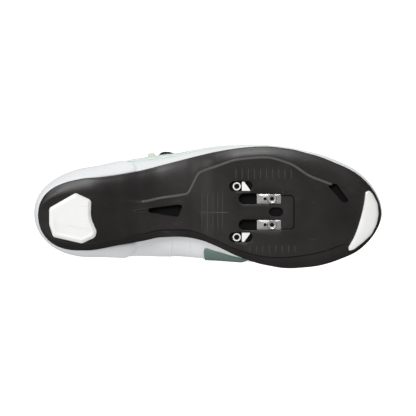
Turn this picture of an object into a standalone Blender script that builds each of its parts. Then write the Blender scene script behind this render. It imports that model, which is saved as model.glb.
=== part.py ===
"""Road cycling shoe for the right foot, lying empty on its inner side.

The shoe is worked out standing: X runs from heel to toe, Y to the inner side, Z up from the ground,
all in metres. The last step lays it down on its inner side, where the sole's edge and the upper both
touch the floor, with the sole facing -Y.
"""

import math

import bmesh
import bpy
import numpy as np
from mathutils import Matrix, Vector

# Driving sizes of the whole shoe
SOLE_LENGTH = 0.2775
BALL_WIDTH = 0.0985
HEEL_WIDTH = 0.0588
INSTEP_HEIGHT = 0.092
HEEL_HEIGHT = 0.098
HEEL_OVERHANG = 0.0032
TOE_OVERHANG = 0.0012
HEEL_LEAN = 0.006
CLEARANCE = 0.0003

# Outsole
PAD_HEIGHT = 0.0033
ARCH_RISE = 0.012
TOE_SPRING = 0.013
SOLE_THICKNESS = 0.0075
STEP_HEIGHT = 0.0014
STEP_RUN = 0.0007
OUTER_BAND_RISE = 0.0034
INNER_BAND_RISE = 0.0022
RIM_RADIUS = 0.0014
SOLE_HEEL_ROUND = 0.032
SOLE_HEEL_POWER = 2.2
TOE_ROUND = 0.060
TOE_POWER = 1.85
VENT_CORNER = 0.0020
HEEL_PAD_CORNER = 0.0030
HEEL_PAD_BEVEL = 0.0018
TOE_PAD_CORNER = 0.0015
TOE_PAD_BEVEL = 0.0010

# Upper, insole and tongue
WALL = 0.0018
FEATHER_INSET = 0.0012
UPPER_HEEL_ROUND = 0.044
UPPER_HEEL_POWER = 2.1
CROWN_ROUND = 0.030
CROWN_POWER = 2.3
INSOLE_THICKNESS = 0.003
INSOLE_ROOM = 0.0016
TONGUE_THICKNESS = 0.003
OVERLAY_THICKNESS = 0.0010
OVERLAY_CORNER = 0.0040
THROAT_FRONT = 0.175
THROAT_REAR = 0.104
THROAT_WIDTH = 0.024
THROAT_FLOOR = 0.045
TONGUE_LAP = 0.010

# How far cutters reach past what they cut
UNDER_CUT = 0.010
BEHIND_THROAT = 0.030
ABOVE = 0.200

# Shares that shape the sections: the belly's place on the way from sole to crown, how far round the crown
# is drawn, the small step that a slope is measured over, and the part of the form that the tongue follows.
# The collar's slope lowers it on the outer side of the ankle. Two pairs of stations say where the heel's
# width and height turn into the ball's width and the instep's height
COLLAR_SLOPE = 0.05
BELLY_RISE = 0.3
CROWN_TURN = math.radians(87)
SMALL = 1e-4
WIDTHS_MEET = (0.14, 0.66)
HEIGHTS_MEET = (0.30, 0.48)
TONGUE_REACH = (0.25, 0.8)
TONGUE_LOWEST = 0.5

# How finely each body is divided, and the angle that a rounded end starts at
END_STEPS = 9
SOLE_STEPS = 34
FORM_STEPS = 22
BELLY_STEPS = (0, 0.1, 0.2)
CROWN_STEPS = 10
INSOLE_STEPS = 20
FIRST_ANGLE = math.radians(4)
FIRST_INNER_ANGLE = math.radians(11)
PAD_CORNER_STEPS = 3
COLLAR_STEPS = 26
INSOLE_COLUMNS = 6
RING_STEPS = 20
SOCKET_STEPS = 4
DIAL_STEPS = 28
LACE_STEPS = 72

# What counts as the face it lies on: how far it has to face the inner side, and its least area in m2
FACES_INWARDS = 0.8
LEAST_FACE = 1e-9

# A side's sign along Y and its name
SIDES = ((-1, "outer"), (1, "inner"))

# Cleat fittings, places measured from the heel end and from the middle line
SLOT_WIDTH = 0.0086
SLOT_START = 0.1620
SLOT_END = 0.1965
SLOT_APART = 0.0210
SLOT_DEPTH = 0.0046
PLATE_THICKNESS = 0.0030
PLATE_LENGTH = 0.0196
BOLT_FROM_END = 0.0078
BOLT_RADIUS = 0.0034
BOLT_HEIGHT = 0.0008
SOCKET_RADIUS = 0.0018
REAR_POCKET_LENGTH = 0.0190
REAR_POCKET_WIDTH = 0.0082
REAR_POCKET_START = 0.1540
REAR_POCKET_APART = 0.0411
REAR_POCKET_DEPTH = 0.0024
RING_RADIUS = 0.0034
RING_HOLE_RADIUS = 0.0020
RING_HEIGHT = 0.0015
POINTER_LENGTH = 0.0072
POINTER_WIDTH = 0.0074
POINTER_HEIGHT = 0.0015
POINTER_CORNER = 0.0006
POINTER_TIP = 0.7
FRONT_POCKET_START = 0.1864
FRONT_POCKET_LENGTH = 0.0113
FRONT_POCKET_WIDTH = 0.0073
FRONT_POCKET_DEPTH = 0.0026
FITTING_MIDDLE = -0.0022

# Lace dial
DIAL_STATION = 0.372
DIAL_RISE = 0.60
DIAL_BASE_RADIUS = 0.0105
DIAL_BASE_HEIGHT = 0.0026
KNOB_RADIUS = 0.0090
KNOB_HEIGHT = 0.0062
KNOB_RIBS = 18
KNOB_RIB_DEPTH = 0.0005
LACE_DIAMETER = 0.0014
GUIDE_LENGTH = 0.0075
GUIDE_WIDTH = 0.0050
GUIDE_HEIGHT = 0.0022
GUIDE_CORNER = 0.0010

# Lace route from the dial, and the guides that it turns at: station, then the share of the girth away
# from the crown, below zero towards the outer side. GUIDE_LAP is how much further out a guide's middle lies
LACE_ROUTE = (
    (0.420, -0.330),
    (0.425, -0.150),
    (0.428, 0.100),
    (0.434, 0.150),
    (0.443, 0.150),
    (0.452, 0.100),
    (0.475, -0.100),
    (0.482, -0.150),
    (0.491, -0.150),
    (0.500, -0.100),
    (0.522, 0.100),
    (0.530, 0.150),
    (0.539, 0.150),
    (0.548, 0.100),
    (0.570, -0.100),
    (0.578, -0.150),
)
LACE_GUIDES = (
    ("guide_dial", 0.328, -0.500),
    ("guide_inner_rear", 0.4385, 0.150),
    ("guide_outer_rear", 0.4865, -0.150),
    ("guide_inner_front", 0.5345, 0.150),
    ("guide_outer_front", 0.582, -0.150),
)
GUIDE_LAP = 0.070


def table(names, *rows):
    """Rows of numbers as named columns."""
    return dict(zip(names.split(), np.array(rows, float).T))


# Outsole plan and side: outer and inner are shares of the local width, arch and spring of their rises,
# plateau_out and plateau_in are shares of the outer and inner half widths, step is a share of STEP_HEIGHT
SOLE = table(
    "station outer inner arch spring plateau_out plateau_in step",
    (0.00, 0.493, 0.493, 0.00, 0.00, 0.60, 0.80, 0.0),
    (0.14, 0.505, 0.495, 0.00, 0.00, 0.58, 0.80, 0.0),
    (0.24, 0.535, 0.399, 0.45, 0.00, 0.38, 0.76, 0.0),
    (0.30, 0.536, 0.328, 0.80, 0.00, 0.28, 0.72, 0.6),
    (0.36, 0.551, 0.259, 1.00, 0.00, 0.33, 0.66, 1.0),
    (0.43, 0.560, 0.232, 0.86, 0.00, 0.36, 0.66, 1.0),
    (0.47, 0.564, 0.243, 0.60, 0.00, 0.71, 0.72, 1.0),
    (0.52, 0.565, 0.285, 0.20, 0.00, 0.77, 0.80, 1.0),
    (0.58, 0.563, 0.352, 0.00, 0.00, 0.83, 0.83, 1.0),
    (0.66, 0.557, 0.416, 0.00, 0.00, 0.84, 0.82, 1.0),
    (0.73, 0.537, 0.443, 0.00, 0.00, 0.78, 0.78, 1.0),
    (0.80, 0.493, 0.422, 0.00, 0.06, 0.62, 0.74, 1.0),
    (0.88, 0.462, 0.406, 0.00, 0.30, 0.55, 0.68, 0.7),
    (0.94, 0.467, 0.421, 0.00, 0.62, 0.52, 0.62, 0.0),
    (1.00, 0.467, 0.426, 0.00, 1.00, 0.52, 0.62, 0.0),
)

# Upper: belly_out and belly_in are shares of the local width at the belly's height, belly is that height
# above the outsole, a share of INSTEP_HEIGHT, crown is the top's height above the ground, a share of the
# local height, crown_side is a share of BALL_WIDTH, and power rounds each section
UPPER = table(
    "station belly_out belly_in belly crown crown_side power",
    (0.00, 0.595, 0.595, 0.240, 1.192, 0.00, 2.8),
    (0.14, 0.600, 0.595, 0.240, 1.192, 0.00, 2.8),
    (0.24, 0.655, 0.572, 0.230, 1.192, 0.00, 2.7),
    (0.30, 0.650, 0.528, 0.215, 1.136, 0.01, 2.45),
    (0.36, 0.634, 0.491, 0.205, 1.078, 0.01, 2.25),
    (0.42, 0.609, 0.447, 0.200, 1.013, 0.02, 2.1),
    (0.48, 0.602, 0.426, 0.200, 0.93, 0.02, 2.05),
    (0.54, 0.591, 0.408, 0.190, 0.84, 0.02, 2.05),
    (0.60, 0.581, 0.402, 0.150, 0.76, 0.03, 2.0),
    (0.66, 0.567, 0.406, 0.110, 0.69, 0.03, 2.1),
    (0.73, 0.548, 0.421, 0.085, 0.625, 0.03, 2.2),
    (0.80, 0.507, 0.408, 0.075, 0.575, 0.03, 2.3),
    (0.88, 0.485, 0.402, 0.070, 0.53, 0.03, 2.3),
    (0.94, 0.490, 0.415, 0.070, 0.50, 0.02, 2.3),
    (1.00, 0.490, 0.420, 0.070, 0.46, 0.02, 2.3),
)

# Top line of the collar, as a share of HEEL_HEIGHT
COLLAR = table(
    "station height",
    (-0.10, 1.03),
    (0.00, 1.00),
    (0.06, 0.95),
    (0.13, 0.77),
    (0.20, 0.68),
    (0.26, 0.69),
    (0.31, 0.77),
    (0.35, 0.86),
    (0.39, 0.95),
    (0.43, 1.06),
    (0.50, 1.26),
)

# Rubber pads and vents, seen from below: along is a share of SOLE_LENGTH, side of BALL_WIDTH
HEEL_PAD = table(
    "along side",
    (0.033, -0.055),
    (0.110, -0.178),
    (0.155, -0.118),
    (0.153, 0.020),
    (0.171, 0.140),
    (0.166, 0.186),
    (0.128, 0.236),
    (0.044, 0.182),
    (0.033, 0.080),
)
TOE_PAD = table(
    "along side",
    (0.953, -0.180),
    (0.962, -0.196),
    (0.974, -0.168),
    (0.9885, -0.086),
    (0.9915, 0.004),
    (0.9855, 0.086),
    (0.971, 0.168),
    (0.945, 0.234),
    (0.918, 0.292),
    (0.905, 0.299),
    (0.902, 0.274),
    (0.919, 0.192),
    (0.936, 0.061),
    (0.948, -0.078),
)

# Overlays of the upper, seen from the side: along is a share of SOLE_LENGTH, height of INSTEP_HEIGHT,
# or of HEEL_HEIGHT for the heel counter
COUNTER = table(
    "along height",
    (-0.10, 0.160),
    (0.285, 0.253),
    (0.240, 0.544),
    (0.120, 0.620),
    (-0.10, 0.695),
)
OUTER_QUARTER = table(
    "along height",
    (0.262, 0.60),
    (0.390, 0.56),
    (0.560, 0.48),
    (0.590, 0.60),
    (0.470, 0.83),
    (0.400, 0.93),
    (0.350, 0.86),
    (0.300, 0.72),
)
INNER_QUARTER = table(
    "along height",
    (0.600, 0.22),
    (0.480, 0.26),
    (0.400, 0.70),
    (0.430, 0.82),
    (0.500, 0.68),
)
ARCH_VENT = table(
    "along side",
    (0.320, -0.045),
    (0.407, -0.078),
    (0.421, -0.070),
    (0.407, 0.026),
    (0.320, -0.012),
)
TOE_VENT = table(
    "along side",
    (0.843, -0.233),
    (0.852, -0.250),
    (0.868, -0.250),
    (0.904, -0.110),
    (0.895, -0.095),
    (0.884, -0.102),
)


def follow(columns, name, station):
    """Smooth curve through one column: cubic pieces, level at a peak and along equal values."""
    places, values = columns["station"], columns[name]
    rates = np.diff(values) / np.diff(places)
    before, after = rates[:-1], rates[1:]
    means = 2 * before * after / np.where(before * after > 0, before + after, 1)
    slopes = np.concatenate([rates[:1], np.where(before * after > 0, means, 0), rates[-1:]])
    piece = np.clip(np.searchsorted(places, station) - 1, 0, len(places) - 2)
    width = places[piece + 1] - places[piece]
    share = np.clip((station - places[piece]) / width, 0, 1)
    start = (1 + 2 * share) * (1 - share) ** 2 * values[piece]
    start_slope = share * (1 - share) ** 2 * width * slopes[piece]
    end = share**2 * (3 - 2 * share) * values[piece + 1]
    end_slope = share**2 * (share - 1) * width * slopes[piece + 1]
    return start + start_slope + end + end_slope


def rounded_end(distance, radius, power):
    """Width share at a distance from a rounded end: 0 at the end, 1 from the radius on."""
    left = 1 - np.clip(distance / radius, 0, 1)
    return (1 - left**power) ** (1 / power)


def local_width(station):
    """Heel width, turning smoothly into ball width along the arch."""
    start, end = WIDTHS_MEET
    share = np.clip((station - start) / (end - start), 0, 1)
    return HEEL_WIDTH + (BALL_WIDTH - HEEL_WIDTH) * share**2 * (3 - 2 * share)


def local_height(station):
    """Heel height at the ankle, turning smoothly into instep height."""
    start, end = HEIGHTS_MEET
    share = np.clip((station - start) / (end - start), 0, 1)
    return HEEL_HEIGHT + (INSTEP_HEIGHT - HEEL_HEIGHT) * share**2 * (3 - 2 * share)


def end_stations(radius, count, first):
    """Stations from a rounded end inwards, closer together towards the end, the first at an angle."""
    angles = np.linspace(first, math.pi / 2, count)
    return radius * (1 - np.cos(angles)) / SOLE_LENGTH


def stations(heel_radius, toe_radius, middle, first=FIRST_ANGLE):
    """Stations from heel to toe, as shares of the length."""
    heel = end_stations(heel_radius, END_STEPS, first)
    toe = 1 - end_stations(toe_radius, END_STEPS, first)[::-1]
    between = np.linspace(heel[-1], toe[0], middle + 2)[1:-1]
    return np.concatenate([heel, between, toe])


def sole_ends(station):
    """How far both ends narrow the outsole at a station."""
    heel = rounded_end(station * SOLE_LENGTH, SOLE_HEEL_ROUND, SOLE_HEEL_POWER)
    toe = rounded_end((1 - station) * SOLE_LENGTH, TOE_ROUND, TOE_POWER)
    return heel * toe


def sole_half(station, side):
    """Half width of the outsole, towards the outer side (-1) or the inner side (1)."""
    share = follow(SOLE, "outer" if side < 0 else "inner", station)
    return share * local_width(station) * sole_ends(station)


def sole_low(station):
    """Height of the outsole's lowest line above the ground."""
    arch = ARCH_RISE * follow(SOLE, "arch", station)
    return PAD_HEIGHT + arch + TOE_SPRING * follow(SOLE, "spring", station)


def sole_top(station):
    """Height of the outsole's flat upper face, which the upper and the insole sit on."""
    return sole_low(station) + SOLE_THICKNESS


def half_section(station, side):
    """Half of the underside, from the edge to the plateau: distances from the middle line and heights."""
    half = sole_half(station, side)
    ends = sole_ends(station)
    band_rise = OUTER_BAND_RISE if side < 0 else INNER_BAND_RISE
    plateau = half * follow(SOLE, "plateau_out" if side < 0 else "plateau_in", station)
    step = STEP_HEIGHT * np.clip(follow(SOLE, "step", station), 0, 1)
    low = sole_low(station)
    rim = RIM_RADIUS * ends
    band_end = plateau + STEP_RUN * ends
    across = [half, half - 0.3 * rim, half - rim, band_end, plateau, 0.5 * plateau]
    edge = step + band_rise
    up = [edge, edge - 0.7 * rim, edge - rim, step, 0 * low, 0 * low]
    return np.stack(across, 1), low[:, None] + np.stack(up, 1)


def sole_rings(station, lower=0.0, upper=SOLE_THICKNESS):
    """Closed sections of the outsole, or of a skin that follows its underside at another depth."""
    out_across, out_up = half_section(station, -1)
    in_across, in_up = half_section(station, 1)
    across = np.concatenate([-out_across, in_across[:, ::-1]], axis=1)
    up = np.concatenate([out_up, in_up[:, ::-1]], axis=1)
    along = 0 * up + station[:, None] * SOLE_LENGTH
    under = np.stack([along, across, up - lower], axis=2)
    flat_top = 0 * up + sole_low(station)[:, None] + upper
    over = np.stack([along, across, flat_top], axis=2)
    return np.concatenate([under, over[:, ::-1]], axis=1)


def upper_point(station, rise, side):
    """Point of the upper's outer face. Rise is 0 at the sole, BELLY_RISE at the belly, 1 on the crown."""
    low = sole_top(station) + CLEARANCE
    toe_left = rounded_end((1 - station) * SOLE_LENGTH, CROWN_ROUND, CROWN_POWER)
    belly = low + INSTEP_HEIGHT * follow(UPPER, "belly", station)
    top = local_height(station) * follow(UPPER, "crown", station)
    crown = belly + (top - belly) * toe_left
    ends = rounded_end(station * SOLE_LENGTH, UPPER_HEEL_ROUND, UPPER_HEEL_POWER)
    ends = ends * rounded_end((1 - station) * SOLE_LENGTH, TOE_ROUND, TOE_POWER)
    half = follow(UPPER, "belly_out" if side < 0 else "belly_in", station) * local_width(station) * ends
    feather = sole_half(station, side) - FEATHER_INSET * sole_ends(station)
    middle = BALL_WIDTH * follow(UPPER, "crown_side", station) * ends
    power = follow(UPPER, "power", station)
    under = np.clip(rise / BELLY_RISE, 0, 1)
    turn = np.clip((rise - BELLY_RISE) / (1 - BELLY_RISE), 0, 1) * CROWN_TURN
    across_under = side * (feather + (half - feather) * (1 - (1 - under) ** 2))
    across_over = middle + (side * half - middle) * np.cos(turn) ** (2 / power)
    above = rise > BELLY_RISE
    across = np.where(above, across_over, across_under)
    height_over = belly + (crown - belly) * np.sin(turn) ** (2 / power)
    height = np.where(above, height_over, low + (belly - low) * under)
    over_belly = (height - belly) / (HEEL_HEIGHT - belly)
    under_belly = (1 - under) ** 2
    heel_end = np.where(above, HEEL_LEAN * np.clip(over_belly, 0, 2) ** 2, 0)
    heel_end = heel_end - HEEL_OVERHANG + (HEEL_OVERHANG + FEATHER_INSET) * under_belly
    toe_end = SOLE_LENGTH + TOE_OVERHANG - (TOE_OVERHANG + FEATHER_INSET) * under_belly
    return np.stack([heel_end + (toe_end - heel_end) * station, across, height], axis=-1)


def upper_face(station, rise, side, grow):
    """Points at a distance outside the upper's outer face, or inside it where grow is below zero."""
    station, rise = np.broadcast_arrays(np.asarray(station, float), np.asarray(rise, float))
    station = np.clip(station, 2 * SMALL, 1 - 2 * SMALL)
    rise = np.clip(rise, SMALL, 1 - SMALL)
    along = upper_point(station + SMALL, rise, side) - upper_point(station - SMALL, rise, side)
    up = upper_point(station, rise + SMALL, side) - upper_point(station, rise - SMALL, side)
    outwards = side * np.cross(up, along)
    outwards = outwards / np.linalg.norm(outwards, axis=-1, keepdims=True)
    return upper_point(station, rise, side) + grow * outwards


def form_rings(grow, drop=0.0, reach=(0, 1), lowest=0):
    """Closed sections of the form at a distance from the upper's outer face, its floor lowered by drop.

    Reach and lowest leave out the stations outside it and the rises below it.
    """
    first = FIRST_ANGLE if grow >= 0 else FIRST_INNER_ANGLE
    station = stations(UPPER_HEEL_ROUND, TOE_ROUND, FORM_STEPS, first)
    station = station[(station >= reach[0]) & (station <= reach[1])][:, None]
    rise = np.concatenate([BELLY_STEPS, np.linspace(BELLY_RISE, 1, CROWN_STEPS)])
    rise = rise[rise >= lowest][None, :]
    outer = upper_face(station, rise, -1, grow)
    inner = upper_face(station, rise, 1, grow)[:, ::-1]
    if drop:
        down = np.array([0, 0, drop])
        outer = np.concatenate([outer[:, :1] - down, outer], axis=1)
        inner = np.concatenate([inner, inner[:, -1:] - down], axis=1)
    return np.concatenate([outer, inner], axis=1)


def clear_scene():
    for obj in list(bpy.data.objects):
        bpy.data.objects.remove(obj, do_unlink=True)


def collection(name):
    made = bpy.data.collections.new(name)
    bpy.context.scene.collection.children.link(made)
    return made


def material(name, colour, roughness, metallic=0.0):
    made = bpy.data.materials.new(name)
    made.use_nodes = True
    shader = made.node_tree.nodes["Principled BSDF"]
    shader.inputs["Base Color"].default_value = (*colour, 1)
    shader.inputs["Roughness"].default_value = roughness
    shader.inputs["Metallic"].default_value = metallic
    return made


def finish_mesh(shape, name):
    """Mesh of a bmesh, with its faces turned outwards."""
    bmesh.ops.recalc_face_normals(shape, faces=shape.faces)
    if shape.calc_volume(signed=True) < 0:
        bmesh.ops.reverse_faces(shape, faces=shape.faces)
    mesh = bpy.data.meshes.new(name)
    shape.to_mesh(mesh)
    shape.free()
    return mesh


def loft(name, rings):
    """Closed body through rings of points. Point k of a ring faces point -1 - k, and such pairs close both ends."""
    count, size = rings.shape[:2]
    shape = bmesh.new()
    verts = [shape.verts.new(point) for point in rings.reshape(-1, 3)]
    for first in range(count - 1):
        for k in range(size):
            after = (k + 1) % size
            here, there = first * size, (first + 1) * size
            corners = [here + k, here + after, there + after, there + k]
            # The two halves of a ring are split as mirror images, so a skin fits the face under it
            turned = corners if k < size // 2 else corners[1:] + corners[:1]
            shape.faces.new([verts[corner] for corner in turned])
    for start in (0, (count - 1) * size):
        for k in range(size // 2 - 1):
            corners = (k, k + 1, size - 2 - k, size - 1 - k)
            shape.faces.new([verts[start + c] for c in corners])
    bmesh.ops.triangulate(shape, faces=shape.faces, quad_method="FIXED")
    return finish_mesh(shape, name)


def arc_corner(before, corner, after, radius, steps):
    """Points of a corner rounded to a radius."""
    to_before = (before - corner) / np.linalg.norm(before - corner)
    to_after = (after - corner) / np.linalg.norm(after - corner)
    half_angle = math.acos(np.clip(to_before @ to_after, -1, 1)) / 2
    room = 0.48 * min(np.linalg.norm(before - corner), np.linalg.norm(after - corner))
    back = min(radius / math.tan(half_angle), room)
    radius = back * math.tan(half_angle)
    bisector = (to_before + to_after) / np.linalg.norm(to_before + to_after)
    centre = corner + bisector * radius / math.sin(half_angle)
    start = corner + to_before * back - centre
    end = corner + to_after * back - centre
    sweep = math.pi - 2 * half_angle
    share = np.linspace(0, 1, steps)[:, None]
    return centre + (np.sin((1 - share) * sweep) * start + np.sin(share * sweep) * end) / math.sin(sweep)


def round_corners(points, radius, steps=4):
    """Outline with each corner rounded."""
    points = np.asarray(points, float)
    corners = zip(np.roll(points, 1, axis=0), points, np.roll(points, -1, axis=0))
    return np.concatenate([arc_corner(*three, radius, steps) for three in corners])


def obround(start, end, middle, width, steps=7):
    """Outline of a slot with round ends, from start to end along X."""
    half = width / 2
    turn = np.linspace(-math.pi / 2, math.pi / 2, steps)
    front = np.stack([end - half + half * np.cos(turn), middle + half * np.sin(turn)], 1)
    rear = np.stack([start + half - half * np.cos(turn), middle - half * np.sin(turn)], 1)
    return np.concatenate([front, rear])


def circle(centre, radius, steps=24):
    turn = np.arange(steps) * 2 * math.pi / steps
    return np.stack([centre[0] + radius * np.cos(turn), centre[1] + radius * np.sin(turn)], 1)


def prism(name, outline, low, high, taper=0.0):
    """Upright body between two heights. Taper draws its low end in towards the outline's middle."""
    outline = np.asarray(outline)
    along = np.roll(outline, -1, axis=0) - np.roll(outline, 1, axis=0)
    inwards = np.stack([-along[:, 1], along[:, 0]], 1) / np.linalg.norm(along, axis=1, keepdims=True)
    turning = np.roll(outline, -1, axis=0)
    area = (outline[:, 0] * turning[:, 1] - outline[:, 1] * turning[:, 0]).sum()
    drawn = outline + taper * np.sign(area) * inwards
    shape = bmesh.new()
    lower = [shape.verts.new((x, y, low)) for x, y in drawn]
    upper = [shape.verts.new((x, y, high)) for x, y in outline]
    shape.faces.new(lower)
    shape.faces.new(upper)
    for k in range(len(lower)):
        after = (k + 1) % len(lower)
        shape.faces.new([lower[k], lower[after], upper[after], upper[k]])
    return finish_mesh(shape, name)


def place(name, mesh, finish, into):
    obj = bpy.data.objects.new(name, mesh)
    if finish:
        obj.data.materials.append(finish)
    into.objects.link(obj)
    return obj


def cutter(name, mesh, into):
    obj = place(name, mesh, None, into)
    obj.hide_render = True
    obj.display_type = "WIRE"
    return obj


def combine(target, other, operation="DIFFERENCE"):
    change = target.modifiers.new(other.name, "BOOLEAN")
    change.operation = operation
    change.solver = "EXACT"
    change.object = other


def plan(columns):
    """Outline of a pad or a vent in metres."""
    return np.stack([columns["along"] * SOLE_LENGTH, columns["side"] * BALL_WIDTH], 1)


def fitting_y(side, apart):
    """Place across of one of a pair of cleat fittings."""
    return FITTING_MIDDLE + side * apart / 2


def make_outsole(parts, cutters, finish):
    """Carbon plate with arch, toe spring, a stepped plateau, two vents and the cleat pockets."""
    rings = sole_rings(stations(SOLE_HEEL_ROUND, TOE_ROUND, SOLE_STEPS))
    outsole = place("outsole", loft("outsole", rings), finish, parts)
    front_end = FRONT_POCKET_START + FRONT_POCKET_LENGTH
    front = obround(FRONT_POCKET_START, front_end, FITTING_MIDDLE, FRONT_POCKET_WIDTH)
    cuts = [
        ("arch_vent", round_corners(plan(ARCH_VENT), VENT_CORNER), ABOVE),
        ("toe_vent", round_corners(plan(TOE_VENT), VENT_CORNER), ABOVE),
        ("front_pocket", front, FRONT_POCKET_DEPTH),
    ]
    for side, letter in SIDES:
        slot = obround(SLOT_START, SLOT_END, fitting_y(side, SLOT_APART), SLOT_WIDTH)
        cuts.append((f"slot_{letter}", slot, SLOT_DEPTH))
        rear_end = REAR_POCKET_START + REAR_POCKET_LENGTH
        middle = fitting_y(side, REAR_POCKET_APART)
        rear = obround(REAR_POCKET_START, rear_end, middle, REAR_POCKET_WIDTH)
        cuts.append((f"rear_pocket_{letter}", rear, REAR_POCKET_DEPTH))
    for name, outline, depth in cuts:
        block = prism(name, outline, PAD_HEIGHT - UNDER_CUT, PAD_HEIGHT + depth)
        combine(outsole, cutter(name, block, cutters))


def make_pad(name, columns, radius, bevel, parts, cutters, finish):
    """Rubber pad that follows the outsole's underside, with drawn-in walls."""
    skin = sole_rings(stations(SOLE_HEEL_ROUND, TOE_ROUND, SOLE_STEPS), PAD_HEIGHT)
    half = skin.shape[1] // 2
    # The pad's upper face is the outsole's underside, less the clearance
    skin[:, half:, 2] = skin[:, half - 1 :: -1, 2] + PAD_HEIGHT - CLEARANCE
    pad = place(name, loft(name, skin), finish, parts)
    outline = round_corners(plan(columns), radius, PAD_CORNER_STEPS)
    top = sole_low(outline[:, 0] / SOLE_LENGTH).max()
    block = prism(name, outline, -bevel, top, bevel)
    combine(pad, cutter(f"{name}_outline", block, cutters), "INTERSECT")


def make_fittings(parts, metal, white):
    """Nut plates and bolts in the slots, threaded rings and index pointers in the rear pockets."""
    for side, letter in SIDES:
        slot_y = fitting_y(side, SLOT_APART)
        plate_low = PAD_HEIGHT + SLOT_DEPTH - CLEARANCE - PLATE_THICKNESS
        plate_end = SLOT_END - CLEARANCE
        plate_start = plate_end - PLATE_LENGTH
        rounded = obround(plate_start, plate_end, slot_y, SLOT_WIDTH - 2 * CLEARANCE)
        front, rear = rounded[: len(rounded) // 2], rounded[[len(rounded) // 2, -1]]
        rear[:, 0] = plate_start
        name = f"nut_plate_{letter}"
        outline = np.concatenate([front, rear])
        place(name, prism(name, outline, plate_low, plate_low + PLATE_THICKNESS), metal, parts)

        name = f"bolt_{letter}"
        head_low = plate_low - CLEARANCE - BOLT_HEIGHT
        bolt = socket_ring(name, (SLOT_END - BOLT_FROM_END, slot_y), head_low)
        place(name, bolt, metal, parts)

        name = f"ring_{letter}"
        rear_y = fitting_y(side, REAR_POCKET_APART)
        floor = PAD_HEIGHT + REAR_POCKET_DEPTH - CLEARANCE
        ring_x = REAR_POCKET_START + REAR_POCKET_WIDTH / 2 + 2 * CLEARANCE
        outer = circle((ring_x, rear_y), RING_RADIUS, RING_STEPS)
        hole = circle((ring_x, rear_y), RING_HOLE_RADIUS, RING_STEPS)
        place(name, ring_body(name, outer, hole, floor - RING_HEIGHT, floor), metal, parts)

        name = f"pointer_{letter}"
        start = ring_x + RING_RADIUS + 2 * CLEARANCE
        reach = POINTER_WIDTH / 2
        tip = (start + POINTER_LENGTH, rear_y - side * POINTER_TIP * reach)
        corners = [(start, rear_y - reach), (start, rear_y + reach), tip]
        outline = round_corners(corners, POINTER_CORNER, PAD_CORNER_STEPS)
        place(name, prism(name, outline, floor - POINTER_HEIGHT, floor), white, parts)


def ring_body(name, outer, inner, low, high):
    """Body between an outer and an inner outline that have as many points, open through the middle."""
    levels = [(outer, low), (outer, high), (inner, high), (inner, low)]
    loops = np.stack([np.column_stack([line, np.full(len(line), z)]) for line, z in levels], axis=1)
    count = len(outer)
    shape = bmesh.new()
    verts = [[shape.verts.new(point) for point in column] for column in loops]
    for k in range(count):
        here, there = verts[k], verts[(k + 1) % count]
        for level in range(4):
            after = (level + 1) % 4
            shape.faces.new([here[level], here[after], there[after], there[level]])
    return finish_mesh(shape, name)


def socket_ring(name, centre, low):
    """Bolt head with a six-sided socket that goes through it."""
    outer = circle(centre, BOLT_RADIUS, 6 * SOCKET_STEPS)
    corners = circle(centre, SOCKET_RADIUS, 6)
    share = np.linspace(0, 1, SOCKET_STEPS, endpoint=False)[:, None]
    sides = [a + (b - a) * share for a, b in zip(corners, np.roll(corners, -1, axis=0))]
    return ring_body(name, outer, np.concatenate(sides), low, low + BOLT_HEIGHT)


def make_upper(parts, cutters, finish):
    """One hollow wall, open at the collar and throat, and underneath where the sole closes it."""
    upper = skin_between("upper", -WALL, 0, finish, parts, cutters)
    combine(upper, cutter("collar_line", collar_cutter(), cutters))
    throat = obround(THROAT_REAR - BEHIND_THROAT, THROAT_FRONT, 0, THROAT_WIDTH)
    combine(upper, cutter("throat", prism("throat", throat, THROAT_FLOOR, ABOVE), cutters))


def collar_cutter():
    """Body above the collar's top line, lower on the outer side of the ankle."""
    share = np.linspace(COLLAR["station"][0], COLLAR["station"][-1], COLLAR_STEPS)
    reach = BALL_WIDTH
    slant = COLLAR_SLOPE * reach
    rings = []
    for x, z in zip(share * SOLE_LENGTH, HEEL_HEIGHT * follow(COLLAR, "height", share)):
        low = [(x, -reach, z - slant), (x, reach, z + slant)]
        rings.append([*low, (x, reach, ABOVE), (x, -reach, ABOVE)])
    return loft("collar_line", np.array(rings))


def skin_between(name, low, high, finish, parts, cutters, **kept):
    """Hollow body between two forms at two distances from the upper's outer face."""
    body = place(name, loft(name, form_rings(high, **kept)), finish, parts)
    inside = loft(f"{name}_inside", form_rings(low, UNDER_CUT, **kept))
    combine(body, cutter(f"{name}_inside", inside, cutters))
    return body


def make_tongue(parts, cutters, finish):
    """Padded sheet under the throat, from the vamp to above the collar."""
    high = -WALL - CLEARANCE
    low = high - TONGUE_THICKNESS
    kept = {"reach": TONGUE_REACH, "lowest": TONGUE_LOWEST}
    tongue = skin_between("tongue", low, high, finish, parts, cutters, **kept)
    start, end = THROAT_REAR - TONGUE_LAP, THROAT_FRONT + TONGUE_LAP
    outline = obround(start, end, 0, THROAT_WIDTH + 2 * TONGUE_LAP)
    region = prism("tongue_outline", outline, THROAT_FLOOR, ABOVE)
    combine(tongue, cutter("tongue_outline", region, cutters), "INTERSECT")


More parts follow.
